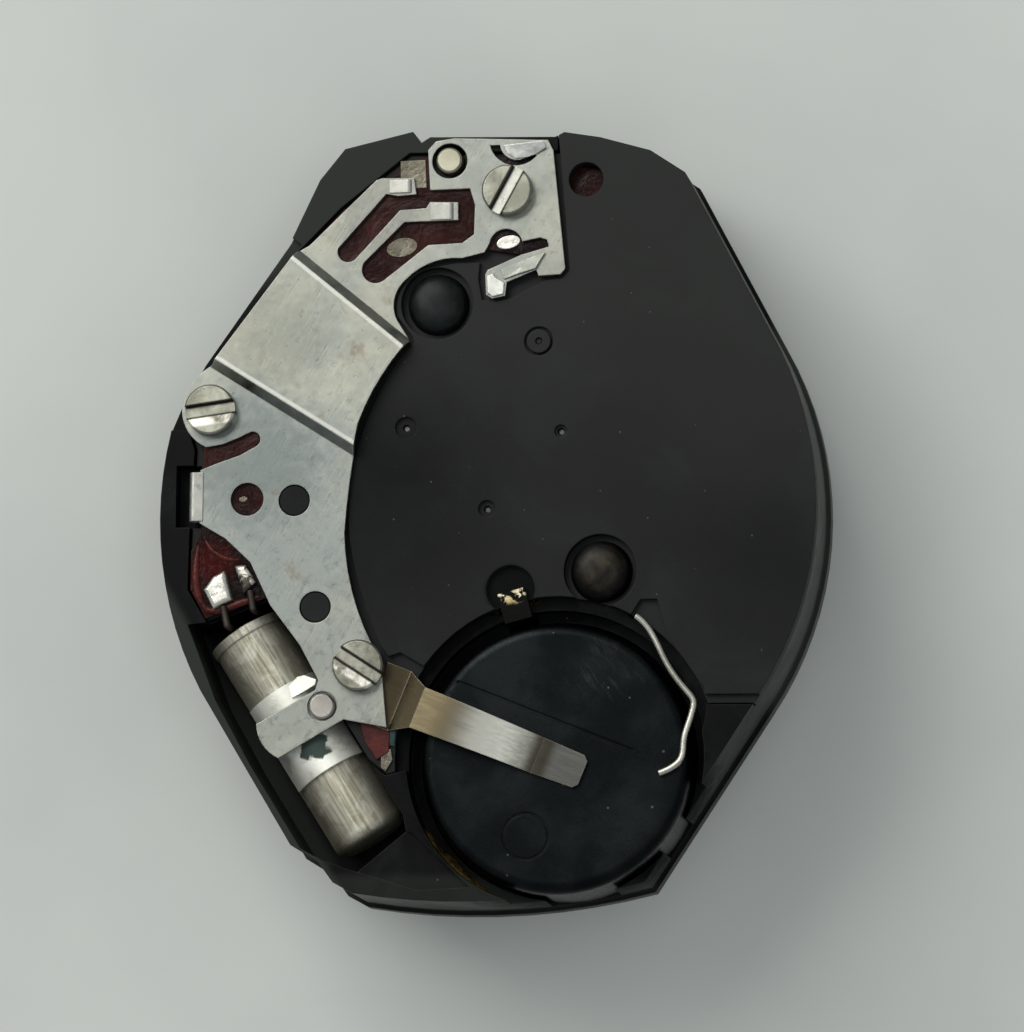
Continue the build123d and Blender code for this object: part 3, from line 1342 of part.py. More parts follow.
# Seconds wheel on the arbor that carries the seconds hand
seconds_pinion_level = third_wheel_level + wheel_thickness - seconds_pinion_height / 2
with BuildPart() as seconds_wheel:
    slab(
        gear_points(centre_place, seconds_wheel_teeth, seconds_module, intermediate_bearing_angle),
        seconds_wheel_level, seconds_wheel_level + wheel_thickness,
    )
    open_spokes(centre_place, seconds_wheel_teeth, seconds_module, 0, above)
    disc(centre_place, wheel_seat_radius + seat_gap, 0, above, Mode.SUBTRACT)
seconds_wheel.part.label = "seconds_wheel"
export_step(seconds_wheel.part, "parts/seconds_wheel.step")

with BuildPart() as seconds_arbor:
    pinion_top = seconds_pinion_level + seconds_pinion_height
    seat_top = seconds_wheel_level + wheel_thickness
    disc(centre_place, seconds_post_radius, -seconds_post_reach, -minute_seat_reach - run_gap)
    taper_low = -minute_seat_reach - run_gap
    taper_high = taper_low + hand_taper_length
    taper(centre_place, seconds_post_radius - hand_seat_step, seconds_post_radius, taper_low, taper_high)
    disc(centre_place, seconds_post_radius, taper_high, pinion_top)
    slab(
        gear_points(centre_place, seconds_pinion_teeth, third_module, third_bearing_angle),
        seconds_pinion_level, pinion_top,
    )
    disc(centre_place, arbor_radius, pinion_top, upper_shoulder)
    disc(centre_place, hub_radius, seconds_wheel_level - hub_height, seconds_wheel_level)
    disc(centre_place, wheel_seat_radius, seconds_wheel_level, seat_top)
    disc(centre_place, pivot_radius, upper_shoulder, pivot_top)
seconds_arbor.part.label = "seconds_arbor"
export_step(seconds_arbor.part, "parts/seconds_arbor.step")

# Third wheel and its pinion
third_pinion_level = shoulder_level
with BuildPart() as third_wheel:
    slab(
        gear_points(
            third_place, third_wheel_teeth, third_module,
            mating_phase(third_bearing_angle, third_wheel_teeth),
        ),
        third_wheel_level, third_wheel_level + wheel_thickness,
    )
    open_spokes(third_place, third_wheel_teeth, third_module, 0, above)
    disc(third_place, wheel_seat_radius + seat_gap, 0, above, Mode.SUBTRACT)
third_wheel.part.label = "third_wheel"
export_step(third_wheel.part, "parts/third_wheel.step")

with BuildPart() as third_pinion:
    pinion_top = third_pinion_level + third_pinion_height
    disc(third_place, pivot_radius, pivot_level, third_pinion_level)
    slab(
        gear_points(third_place, third_pinion_teeth, centre_module, third_bearing_angle + 180),
        third_pinion_level, pinion_top,
    )
    disc(third_place, hub_radius, pinion_top, third_wheel_level)
    disc(third_place, wheel_seat_radius, pinion_top, third_wheel_level + wheel_thickness)
    disc(third_place, arbor_radius, pinion_top, upper_shoulder)
    disc(third_place, pivot_radius, upper_shoulder, pivot_top)
third_pinion.part.label = "third_pinion"
export_step(third_pinion.part, "parts/third_pinion.step")

# Centre wheel with its pipe, and the cannon pinion pressed on the pipe
cannon_taper_low = -hour_pipe_reach - run_gap
cannon_taper_high = cannon_taper_low + hand_taper_length
with BuildPart() as centre_wheel:
    slab(
        gear_points(
            centre_place, centre_wheel_teeth, centre_module,
            mating_phase(third_bearing_angle + 180, centre_wheel_teeth),
        ),
        centre_wheel_level, centre_wheel_level + wheel_thickness,
    )
    open_spokes(centre_place, centre_wheel_teeth, centre_module, 0, above)
    hub_top = centre_wheel_level + wheel_thickness + hub_height
    disc(centre_place, hub_radius, train_floor_height + lift_gap, hub_top)
    disc(centre_place, centre_pipe_radius, cannon_taper_high, centre_wheel_level)
    disc(centre_place, centre_pipe_bore, -seconds_post_reach, above, Mode.SUBTRACT)
centre_wheel.part.label = "centre_wheel"
export_step(centre_wheel.part, "parts/centre_wheel.step")

with BuildPart() as cannon_pinion:
    cannon_top = motion_ceiling_height - lift_gap
    slab(
        gear_points(centre_place, cannon_teeth, cannon_module, 90),
        hour_wheel_level + wheel_thickness + lift_gap, cannon_top,
    )
    body_radius = minute_seat_radius - hand_seat_step * 2
    disc(centre_place, minute_seat_radius, -minute_seat_reach, cannon_taper_low)
    taper(
        centre_place, minute_seat_radius - hand_seat_step, body_radius, cannon_taper_low, cannon_taper_high
    )
    disc(centre_place, body_radius, cannon_taper_high, cannon_top)
    disc(centre_place, centre_pipe_radius + seat_gap, -seconds_post_reach, above, Mode.SUBTRACT)
cannon_pinion.part.label = "cannon_pinion"
export_step(cannon_pinion.part, "parts/cannon_pinion.step")

# Motion works: minute wheel with its pinion, hour wheel with its pipe, setting wheel, and two posts
with BuildPart() as minute_wheel:
    slab(
        gear_points(minute_place, minute_wheel_teeth, cannon_module, mating_phase(90, minute_wheel_teeth)),
        minute_wheel_level, minute_wheel_level + wheel_thickness,
    )
    slab(
        gear_points(minute_place, minute_pinion_teeth, hour_module, 270),
        hour_wheel_level, minute_wheel_level,
    )
    disc(minute_place, minute_post_radius + run_gap, 0, above, Mode.SUBTRACT)
minute_wheel.part.label = "minute_wheel"
export_step(minute_wheel.part, "parts/minute_wheel.step")

with BuildPart() as hour_wheel:
    slab(
        gear_points(centre_place, hour_wheel_teeth, hour_module, mating_phase(270, hour_wheel_teeth)),
        hour_wheel_level, hour_wheel_level + wheel_thickness,
    )
    disc(centre_place, hour_pipe_radius, -hour_pipe_reach, lift_gap)
    disc(centre_place, hour_pipe_radius + hour_shoulder_step, lift_gap, hour_wheel_level)
    disc(centre_place, minute_seat_radius + run_gap, -hour_pipe_reach, above, Mode.SUBTRACT)
hour_wheel.part.label = "hour_wheel"
export_step(hour_wheel.part, "parts/hour_wheel.step")

with BuildPart() as setting_wheel:
    slab(
        gear_points(setting_place, setting_wheel_teeth, cannon_module, 270),
        setting_wheel_level, minute_wheel_level + wheel_thickness + run_gap,
    )
    disc(setting_place, minute_post_radius + run_gap, 0, above, Mode.SUBTRACT)
setting_wheel.part.label = "setting_wheel"
export_step(setting_wheel.part, "parts/setting_wheel.step")

for post_name, post_place in (("minute_post", minute_place), ("setting_post", setting_place)):
    with BuildPart() as motion_post:
        disc(post_place, minute_post_radius, cover_seat_height, cover_seat_height + motion_post_height)
    motion_post.part.label = post_name
    export_step(motion_post.part, f"parts/{post_name}.step")

# Sliding pinion on the stem line: crown teeth towards the setting wheel, groove for the yoke
with BuildPart() as sliding_pinion:
    rod(
        (0, sliding_start, stem_axis_height), (0, sliding_start + sliding_length, stem_axis_height),
        sliding_radius,
    )
    with BuildSketch(Plane((0, sliding_start, stem_axis_height), z_dir=(0, 1, 0))):
        for tooth in range(sliding_teeth):
            with PolarLocations(sliding_radius, 1, start_angle=360 / sliding_teeth * tooth):
                Rectangle(
                    (sliding_radius - sliding_root_radius) * 2,
                    math.pi * sliding_radius / sliding_teeth,
                )
    extrude(amount=sliding_tooth_length, mode=Mode.SUBTRACT)
    with BuildSketch(Plane((0, groove_start_y, stem_axis_height), z_dir=(0, 1, 0))):
        Circle(sliding_radius + side_gap)
        Circle(sliding_groove_radius, mode=Mode.SUBTRACT)
    extrude(amount=sliding_groove_width, mode=Mode.SUBTRACT)
    with BuildSketch(Plane((0, sliding_start, stem_axis_height), z_dir=(0, 1, 0))):
        Rectangle(sliding_bore_side, sliding_bore_side)
    extrude(amount=sliding_length, mode=Mode.SUBTRACT)
sliding_pinion.part.label = "sliding_pinion"
export_step(sliding_pinion.part, "parts/sliding_pinion.step")

# Setting lever: a flat lever with its push pin, the stud for the stem and the nose for the yoke
with BuildPart() as setting_lever:
    lever_top = lever_level + lever_thickness
    disc(lever_place, lever_boss_radius, lever_level, lever_top)
    bar(lever_place, lever_stud_place, lever_arm_width, lever_level, lever_top)
    bar(lever_place, lever_nose_place, lever_arm_width, lever_level, lever_top)
    disc(lever_place, lever_pin_radius, lever_top, lever_pin_height)
    chamfer(setting_lever.edges().group_by(Axis.Z)[-1], screw_edge)
    disc(lever_place, lever_journal_radius, lever_level - lever_journal_depth, lever_level)
    disc(lever_stud_place, lever_stud_radius, lever_level - lever_stud_reach, lever_level)
    disc(lever_nose_place, lever_nose_radius, yoke_level, lever_level)
setting_lever.part.label = "setting_lever"
export_step(setting_lever.part, "parts/setting_lever.step")

# Yoke: a flat lever that the nose pushes, its tip in the groove of the sliding pinion
yoke_elbow = (-sliding_radius - yoke_arm_width, yoke_groove_y)
yoke_tip = (-sliding_groove_radius - yoke_tip_width / 2 - run_gap, yoke_groove_y)
tail_left = lever_nose_place[0] + lever_nose_radius + lever_nose_gap
with BuildPart() as yoke:
    yoke_top = yoke_level + yoke_thickness
    disc(yoke_place, yoke_boss_radius, yoke_level, yoke_top)
    bar(yoke_place, yoke_elbow, yoke_arm_width, yoke_level, yoke_top)
    bar(yoke_elbow, yoke_tip, yoke_tip_width, yoke_level, yoke_top)
    slab(
        [
            (yoke_place[0], yoke_place[1] + yoke_boss_radius),
            (tail_left, lever_nose_place[1] - yoke_boss_radius),
            (tail_left, lever_nose_place[1] + lever_nose_radius),
            (tail_left + yoke_tail_width, lever_nose_place[1] + lever_nose_radius),
            (tail_left + yoke_tail_width, lever_nose_place[1] - yoke_boss_radius * 2),
            (yoke_place[0] + yoke_boss_radius, yoke_place[1]),
        ],
        yoke_level, yoke_top,
    )
    disc(yoke_place, yoke_post_radius + run_gap, 0, above, Mode.SUBTRACT)
yoke.part.label = "yoke"
export_step(yoke.part, "parts/yoke.step")

with BuildPart() as yoke_post:
    disc(yoke_place, yoke_post_radius, yoke_level - yoke_post_depth + seat_gap, yoke_top + lift_gap)
    disc(
        yoke_place, yoke_boss_radius - side_gap, yoke_top + lift_gap,
        yoke_top + lift_gap + yoke_post_head_height,
    )
yoke_post.part.label = "yoke_post"
export_step(yoke_post.part, "parts/yoke_post.step")

# Cover of the motion works on the dial side, and its screws
cover_low = cover_seat_height - cover_thickness
with BuildPart() as motion_cover:
    for cover_place, cover_radius in cover_fields:
        disc(cover_place, cover_radius, cover_low, cover_seat_height)
    disc(centre_place, hour_pipe_radius + hour_shoulder_step + side_gap, 0, above, Mode.SUBTRACT)
    for screw_place in cover_screw_places:
        disc(screw_place, cover_screw_shank_radius + seat_gap, 0, above, Mode.SUBTRACT)
motion_cover.part.label = "motion_cover"
export_step(motion_cover.part, "parts/motion_cover.step")

for screw_name, screw_place in zip(("cover_screw_left", "cover_screw_right"), cover_screw_places):
    with BuildPart() as cover_screw:
        disc(screw_place, cover_screw_radius, cover_low - cover_screw_head, cover_low)
        with BuildSketch(Plane.XY.offset(cover_low - cover_screw_head)):
            with Locations(screw_place):
                Rectangle(cover_screw_radius * 3, screw_slot_width / 2)
        extrude(amount=cover_screw_head / 2, dir=(0, 0, 1), mode=Mode.SUBTRACT)
        disc(screw_place, cover_screw_shank_radius, cover_low, cover_seat_height + cover_screw_shank_length)
    cover_screw.part.label = screw_name
    export_step(cover_screw.part, f"parts/{screw_name}.step")
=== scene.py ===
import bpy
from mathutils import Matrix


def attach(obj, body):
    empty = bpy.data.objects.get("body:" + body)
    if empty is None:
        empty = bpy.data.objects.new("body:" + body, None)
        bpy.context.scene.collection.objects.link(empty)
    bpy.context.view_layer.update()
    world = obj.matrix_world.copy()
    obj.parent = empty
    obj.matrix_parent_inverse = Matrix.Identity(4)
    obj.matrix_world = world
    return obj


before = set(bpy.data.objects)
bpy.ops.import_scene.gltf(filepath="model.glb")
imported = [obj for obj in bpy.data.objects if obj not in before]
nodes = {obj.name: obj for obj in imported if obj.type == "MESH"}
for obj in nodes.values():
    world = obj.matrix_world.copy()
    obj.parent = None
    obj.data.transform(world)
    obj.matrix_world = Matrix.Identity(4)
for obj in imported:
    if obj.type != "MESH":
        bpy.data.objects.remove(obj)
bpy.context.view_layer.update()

import math
import random

import bmesh
import bpy
from mathutils import Matrix, Vector

MM = 0.001


# ---- Main plate, train bridge and rotor bearing ----
# The base and the bridge over the wheels are injection moulded in black plastic with a fine satin grain. The
# bridge is held by two hot-formed domes of the plate. The edges are greyed, and fine dust lies on top.

def paint(red, green, blue):
    """A colour given as it looks on a screen, 0 to 255, as the shader wants it."""
    return tuple(
        c / 12.92 if c <= 0.04045 else ((c + 0.055) / 1.055) ** 2.4
        for c in (red / 255, green / 255, blue / 255)
    ) + (1.0,)


def put(tree, kind, values=None, **settings):
    """Adds a shader node; a value that is another node's socket is linked."""
    node = tree.nodes.new(kind)
    for name, value in settings.items():
        setattr(node, name, value)
    for name, value in (values or {}).items():
        if isinstance(value, bpy.types.NodeSocket):
            tree.links.new(value, node.inputs[name])
        else:
            node.inputs[name].default_value = value
    return node


def open_group(name, inputs, outputs):
    """An empty node group with named sockets; returns it with its start and end."""
    group = bpy.data.node_groups.new(name, "ShaderNodeTree")
    kinds = {"float": "NodeSocketFloat", "colour": "NodeSocketColor", "vector": "NodeSocketVector"}
    for label, kind, value in inputs:
        socket = group.interface.new_socket(label, in_out="INPUT", socket_type=kinds[kind])
        socket.default_value = value
    for label, kind in outputs:
        group.interface.new_socket(label, in_out="OUTPUT", socket_type=kinds[kind])
    return group, group.nodes.new("NodeGroupInput"), group.nodes.new("NodeGroupOutput")


def in_mm(tree):
    """The place on the object in millimetres, as the texture coordinates of every effect."""
    place = put(tree, "ShaderNodeTexCoord")
    return put(
        tree, "ShaderNodeVectorMath", {0: place.outputs["Object"], "Scale": 1 / MM}, operation="SCALE"
    ).outputs[0]


def ramp(tree, value, low, high, start=0.0, end=1.0):
    """Maps a value smoothly from one range to another."""
    return put(
        tree, "ShaderNodeMapRange",
        {"Value": value, "From Min": low, "From Max": high, "To Min": start, "To Max": end},
        interpolation_type="SMOOTHSTEP",
    ).outputs[0]


def maths(tree, operation, first, second=0.0):
    """One step of arithmetic."""
    return put(tree, "ShaderNodeMath", {0: first, 1: second}, operation=operation).outputs[0]


def blend_colours(tree, mask, first, second):
    """The first colour where the mask is 0, the second where it is 1."""
    node = put(tree, "ShaderNodeMix", {0: mask, 6: first, 7: second}, data_type="RGBA")
    return node.outputs[2]


def tint(tree, tone, mask, strength, colour):
    """Lays a colour over the tone where the mask is, at a strength from 0 to 1."""
    return blend_colours(tree, maths(tree, "MULTIPLY", mask, strength), tone, colour)


def use_group(tree, group, values):
    """Places a node group in a material with its own values."""
    return put(tree, "ShaderNodeGroup", values, node_tree=group).outputs


# Fine grain: a small bumpy height and a slow change of tone
grain, start, end = open_group(
    "grain", [("Fineness", "float", 20.0), ("Cloud Size", "float", 0.6)],
    [("Height", "float"), ("Clouds", "float")],
)
place = in_mm(grain)
fine = put(
    grain, "ShaderNodeTexNoise",
    {"Vector": place, "Scale": start.outputs[0], "Detail": 4.0, "Roughness": 0.6},
)
slow = put(grain, "ShaderNodeTexNoise", {"Vector": place, "Scale": start.outputs[1], "Detail": 3.0})
grain.links.new(fine.outputs[0], end.inputs[0])
grain.links.new(ramp(grain, slow.outputs[0], 0.35, 0.65), end.inputs[1])

# Edge wear: a ragged mask along sharp edges, and the normal of a slightly rounded edge
edge_wear, start, end = open_group(
    "edge_wear", [("Width", "float", 0.05), ("Raggedness", "float", 0.5)],
    [("Mask", "float"), ("Rounded Normal", "vector")],
)
width = put(edge_wear, "ShaderNodeMath", {0: start.outputs[0], 1: MM}, operation="MULTIPLY").outputs[0]
rounded = put(edge_wear, "ShaderNodeBevel", {"Radius": width}, samples=4)
flat = put(edge_wear, "ShaderNodeNewGeometry")
alike = put(
    edge_wear, "ShaderNodeVectorMath", {0: rounded.outputs[0], 1: flat.outputs["Normal"]},
    operation="DOT_PRODUCT",
)
ragged = put(edge_wear, "ShaderNodeTexNoise", {"Vector": in_mm(edge_wear), "Scale": 3.0, "Detail": 5.0})
worn = maths(edge_wear, "MULTIPLY", start.outputs[1], ramp(edge_wear, ragged.outputs[0], 0.4, 0.6))
kept = maths(edge_wear, "SUBTRACT", 1.0, worn)
edge = ramp(edge_wear, alike.outputs["Value"], 0.995, 0.88)
edge_wear.links.new(maths(edge_wear, "MULTIPLY", edge, kept), end.inputs[0])
edge_wear.links.new(rounded.outputs[0], end.inputs[1])

# Dust: small specks, dense or sparse, that keep to some of the cells of a random mesh
dust, start, end = open_group(
    "dust", [("Fineness", "float", 5.0), ("Speck Size", "float", 0.12), ("Share", "float", 0.15)],
    [("Mask", "float")],
)
cells = put(dust, "ShaderNodeTexVoronoi", {"Vector": in_mm(dust), "Scale": start.outputs[0]}, feature="F1")
chance = put(dust, "ShaderNodeSeparateColor", {0: cells.outputs["Color"]})
size = maths(dust, "MULTIPLY", start.outputs[1], chance.outputs[1])
speck = maths(dust, "LESS_THAN", cells.outputs["Distance"], size)
chosen = maths(dust, "LESS_THAN", chance.outputs[0], start.outputs[2])
dust.links.new(maths(dust, "MULTIPLY", speck, chosen), end.inputs[0])

# Stain: ragged clouds from a threshold, for smudges and tarnish
stain, start, end = open_group(
    "stain", [("Fineness", "float", 1.0), ("Threshold", "float", 0.55), ("Softness", "float", 0.08),
              ("Shift", "float", 0.0)],
    [("Mask", "float")],
)
moved = put(stain, "ShaderNodeVectorMath", {0: in_mm(stain), 1: start.outputs[3]}, operation="ADD")
cloud = put(
    stain, "ShaderNodeTexNoise",
    {"Vector": moved.outputs[0], "Scale": start.outputs[0], "Detail": 6.0, "Roughness": 0.62,
     "Distortion": 0.6},
)
low = maths(stain, "SUBTRACT", start.outputs[1], start.outputs[2])
high = maths(stain, "ADD", start.outputs[1], start.outputs[2])
stain.links.new(ramp(stain, cloud.outputs[0], low, high), end.inputs[0])

# Patch: one ragged round spot at a place given in millimetres
patch, start, end = open_group(
    "patch", [("Centre", "vector", (0.0, 0.0, 0.0)), ("Radius", "float", 0.5), ("Raggedness", "float", 0.3),
              ("Core", "float", 0.75)],
    [("Mask", "float")],
)
place = in_mm(patch)
away = put(patch, "ShaderNodeVectorMath", {0: place, 1: start.outputs[0]}, operation="DISTANCE")
rough = put(patch, "ShaderNodeTexNoise", {"Vector": place, "Scale": 4.0, "Detail": 4.0})
push = maths(patch, "MULTIPLY", maths(patch, "SUBTRACT", rough.outputs[0], 0.5), start.outputs[2])
share = maths(patch, "ADD", maths(patch, "DIVIDE", away.outputs["Value"], start.outputs[1]), push)
patch.links.new(ramp(patch, share, 1.0, start.outputs[3]), end.inputs[0])

# Band: a soft straight stripe in the plan, at a distance along a direction
band, start, end = open_group(
    "band", [("Direction", "vector", (1.0, 0.0, 0.0)), ("Middle", "float", 0.0), ("Half Width", "float", 0.2),
             ("Softness", "float", 0.1)],
    [("Mask", "float")],
)
along = put(band, "ShaderNodeVectorMath", {0: in_mm(band), 1: start.outputs[0]}, operation="DOT_PRODUCT")
beside = maths(band, "ABSOLUTE", maths(band, "SUBTRACT", along.outputs["Value"], start.outputs[1]))
beyond = maths(band, "DIVIDE", maths(band, "SUBTRACT", beside, start.outputs[2]), start.outputs[3])
band.links.new(ramp(band, beyond, 1.0, 0.0), end.inputs[0])


def new_material(name, colour, metallic, roughness):
    """A material with one main shader; returns the material, its tree and the shader."""
    made = bpy.data.materials.new(name)
    made.use_nodes = True
    shader = made.node_tree.nodes["Principled BSDF"]
    shader.inputs["Base Color"].default_value = colour
    shader.inputs["Metallic"].default_value = metallic
    shader.inputs["Roughness"].default_value = roughness
    return made, made.node_tree, shader


noise_low, noise_high = 0.3, 0.7


def send(tree, shader, tone, height=None, smooth=0.0, rough=1.0):
    """Sends the tone to the shader; where a height is given, the roughness follows it between two values."""
    tree.links.new(tone, shader.inputs["Base Color"])
    if height is not None:
        gloss = ramp(tree, height, noise_low, noise_high, smooth, rough)
        tree.links.new(gloss, shader.inputs["Roughness"])


def bump(tree, shader, height, microns, normal=None):
    """Turns a height into the normal of the shader."""
    values = {"Height": height, "Strength": 1.0, "Distance": microns * 1e-6}
    if normal is not None:
        values["Normal"] = normal
    raised = put(tree, "ShaderNodeBump", values)
    tree.links.new(raised.outputs[0], shader.inputs["Normal"])


def dress(material, *names):
    """Gives CAD nodes a material."""
    for name in names:
        slots = nodes[name].material_slots
        if not slots:
            nodes[name].data.materials.append(material)
        for used in slots:
            used.link = "OBJECT"
            used.material = material


dome_height, dull_height = 3.4, 2.7


def moulded_black(name, colour, haze, roughness, shine, grey_edges, domes, greyed, dull_rounds):
    """Black moulded plastic: grain, hazy clouds, stripes of painted sheen, dust, and gloss and painted
    highlights on hot-formed domes.
    """
    made, tree, shader = new_material(name, colour, 0.0, roughness)
    shader.inputs["Specular IOR Level"].default_value = shine
    shader.inputs["Coat Roughness"].default_value = 0.3
    texture = use_group(tree, grain, {"Fineness": 26.0, "Cloud Size": 0.35})
    edges = use_group(tree, edge_wear, {"Width": 0.045, "Raggedness": 0.55})
    specks = use_group(tree, dust, {"Fineness": 4.2, "Speck Size": 0.11, "Share": 0.16})
    powder = use_group(tree, dust, {"Fineness": 13.0, "Speck Size": 0.2, "Share": 0.3})
    smudge = use_group(tree, stain, {"Fineness": 0.42, "Threshold": 0.56, "Softness": 0.1})
    tone = blend_colours(tree, texture["Clouds"], colour, haze)
    tone = tint(tree, tone, smudge["Mask"], 0.3, paint(36, 41, 40))
    # Each stripe is painted sheen: a lighter grey where a wall or rim of the plate, or the top of the bridge,
    # catches the light.
    for direction, middle, half_width, softness, strength in greyed:
        wear_and_painted_highlight = use_group(
            tree, band,
            {"Direction": direction, "Middle": middle, "Half Width": half_width, "Softness": softness},
        )
        tone = tint(tree, tone, wear_and_painted_highlight["Mask"], strength, paint(52, 56, 51))
    tone = tint(tree, tone, edges["Mask"], grey_edges, paint(70, 72, 70))
    tone = tint(tree, tone, powder["Mask"], 0.25, paint(52, 54, 52))
    tone = tint(tree, tone, specks["Mask"], 0.3, paint(120, 118, 110))
    gloss = maths(tree, "ADD", maths(tree, "MULTIPLY", texture["Height"], 0.16), roughness - 0.08)
    gloss = maths(tree, "ADD", gloss, maths(tree, "MULTIPLY", smudge["Mask"], 0.08))
    coat = None
    # The domes carry painted highlights: a cloudy spot of lighter colour on each, with a little coat for
    # gloss.
    for x, y, radius, dome_highlight in domes:
        spot = use_group(
            tree, patch, {"Centre": (x, y, dome_height), "Radius": radius, "Raggedness": 0.6, "Core": 0.2}
        )
        cloudy = use_group(tree, stain, {"Fineness": 1.5, "Threshold": 0.5, "Softness": 0.2, "Shift": x})
        dome_highlight_mask = maths(tree, "MULTIPLY", spot["Mask"], cloudy["Mask"])
        tone = tint(tree, tone, dome_highlight_mask, 0.7, dome_highlight)
        shiny = maths(tree, "MULTIPLY", spot["Mask"], 0.16)
        coat = shiny if coat is None else maths(tree, "ADD", coat, shiny)
    if coat is not None:
        tree.links.new(coat, shader.inputs["Coat Weight"])
    for x, y, radius, core, dulling in dull_rounds:
        darkened = use_group(
            tree, patch, {"Centre": (x, y, dull_height), "Radius": radius, "Raggedness": 0.15, "Core": core}
        )
        gloss = maths(tree, "ADD", gloss, maths(tree, "MULTIPLY", darkened["Mask"], dulling))
    send(tree, shader, tone)
    tree.links.new(gloss, shader.inputs["Roughness"])
    bump(tree, shader, texture["Height"], 2.5, edges["Rounded Normal"])
    return made


# Each dome: its place, the radius of its spot, and the colour of its painted highlight, teal-grey and
# brownish.
plate_domes = ((-1.32, 5.24, 1.1, paint(31, 38, 37)), (2.88, -1.59, 0.75, paint(78, 71, 54)))
# Painted sheen on the plate: stripes along the right wall, the bottom rim, the lower left rim and the upper
# left rim.
plate_sheen_stripes = (
    ((1.0, 0.0, 0.0), 8.0, 0.9, 0.4, 0.9),
    ((0.0, -1.0, 0.0), 9.7, 0.35, 0.3, 0.3),
    ((-0.86, -0.51, 0.0), 8.35, 0.25, 0.3, 0.7),
    ((-0.5, 0.866, 0.0), 9.2, 1.0, 0.6, 0.65),
)
plate_black = moulded_black(
    "plate_plastic", paint(4, 4, 4), paint(9, 10, 10), 0.36, 0.07, 0.35, plate_domes, plate_sheen_stripes,
    ((1.78, -6.27, 4.3, 0.75, 0.6),),
)
# The bridge gets one broad stripe of painted sheen, lighter towards its top.
bridge_black = moulded_black(
    "bridge_plastic", paint(8, 9, 9), paint(14, 15, 15), 0.44, 0.17, 0.3, (),
    (((0.3, 0.95, 0.0), 8.0, 1.5, 6.0, 0.2),),
    ((0.62, -2.05, 0.85, 0.75, 0.6), (-2.6, 0.2, 4.6, 0.0, 0.3), (7.0, -1.5, 4.0, 0.0, 0.2)),
)
dress(plate_black, "main_plate")
# The rotor arbor takes the bridge's black as painted shade, for its tip that stands dark in its bearing hole.
dress(bridge_black, "train_bridge", "rotor_bearing", "rotor_arbor")


# ---- Motor ----
# The stator and the core are stamped from annealed soft iron sheet. The coil is enamelled copper wire wound
# between two moulded cheeks, and two small screws clamp the core on the stator.

# Brush: fine lines along one direction in the plan
brush, start, end = open_group(
    "brush", [("Lean", "float", 0.0), ("Along", "float", 1.0), ("Across", "float", 20.0)],
    [("Streak", "float")],
)
turned = put(
    brush, "ShaderNodeVectorRotate", {"Vector": in_mm(brush), "Angle": start.outputs[0]},
    rotation_type="Z_AXIS",
)
stretch = put(brush, "ShaderNodeCombineXYZ", {0: start.outputs[1], 1: start.outputs[2], 2: start.outputs[2]})
drawn = put(
    brush, "ShaderNodeVectorMath", {0: turned.outputs[0], 1: stretch.outputs[0]}, operation="MULTIPLY"
)
streaks = put(
    brush, "ShaderNodeTexNoise", {"Vector": drawn.outputs[0], "Scale": 1.0, "Detail": 4.0, "Roughness": 0.6}
)
brush.links.new(streaks.outputs[0], end.inputs[0])


def sheet_iron():
    made, tree, shader = new_material("soft_iron", paint(150, 150, 150), 1.0, 0.45)
    texture = use_group(tree, grain, {"Fineness": 14.0, "Cloud Size": 0.7})
    edges = use_group(tree, edge_wear, {"Width": 0.03, "Raggedness": 0.3})
    tone = blend_colours(tree, texture["Clouds"], paint(136, 137, 139), paint(163, 163, 161))
    tone = tint(tree, tone, edges["Mask"], 0.6, paint(214, 213, 210))
    send(tree, shader, tone, texture["Height"], 0.38, 0.55)
    bump(tree, shader, texture["Height"], 1.5, edges["Rounded Normal"])
    return made


def wound_copper():
    made, tree, shader = new_material("copper_wire", paint(178, 92, 44), 0.9, 0.35)
    place = in_mm(tree)
    turns = put(
        tree, "ShaderNodeTexWave", {"Vector": place, "Scale": 7.0, "Distortion": 0.35, "Detail": 1.0},
        wave_type="BANDS", bands_direction="Y", wave_profile="SIN",
    )
    slow = put(tree, "ShaderNodeTexNoise", {"Vector": place, "Scale": 1.4})
    # The turns are painted as shade and highlight: dark in the grooves between them, light on their tops, in
    # step with their bump.
    tone = blend_colours(tree, turns.outputs["Fac"], paint(112, 46, 20), paint(201, 112, 58))
    tone = blend_colours(tree, ramp(tree, slow.outputs[0], 0.4, 0.7, 0.0, 0.35), tone, paint(150, 84, 60))
    send(tree, shader, tone)
    bump(tree, shader, turns.outputs["Fac"], 22.0)
    return made


def bright_steel(name, low, high, roughness, wear_and_painted_highlight=0.7):
    """Turned or stamped steel with fine scratches and bright edges."""
    made, tree, shader = new_material(name, low, 1.0, roughness)
    texture = use_group(tree, grain, {"Fineness": 9.0, "Cloud Size": 0.9})
    edges = use_group(tree, edge_wear, {"Width": 0.03, "Raggedness": 0.2})
    lines = use_group(tree, brush, {"Lean": 0.9, "Along": 1.5, "Across": 20.0})
    spots = use_group(tree, dust, {"Fineness": 7.0, "Speck Size": 0.2, "Share": 0.2})
    tone = blend_colours(tree, texture["Clouds"], low, high)
    tone = tint(tree, tone, edges["Mask"], wear_and_painted_highlight, paint(236, 235, 230))
    tone = tint(tree, tone, spots["Mask"], 0.5, paint(96, 90, 80))
    send(tree, shader, tone, lines["Streak"], roughness - 0.07, roughness + 0.1)
    bump(tree, shader, lines["Streak"], 0.5, edges["Rounded Normal"])
    return made


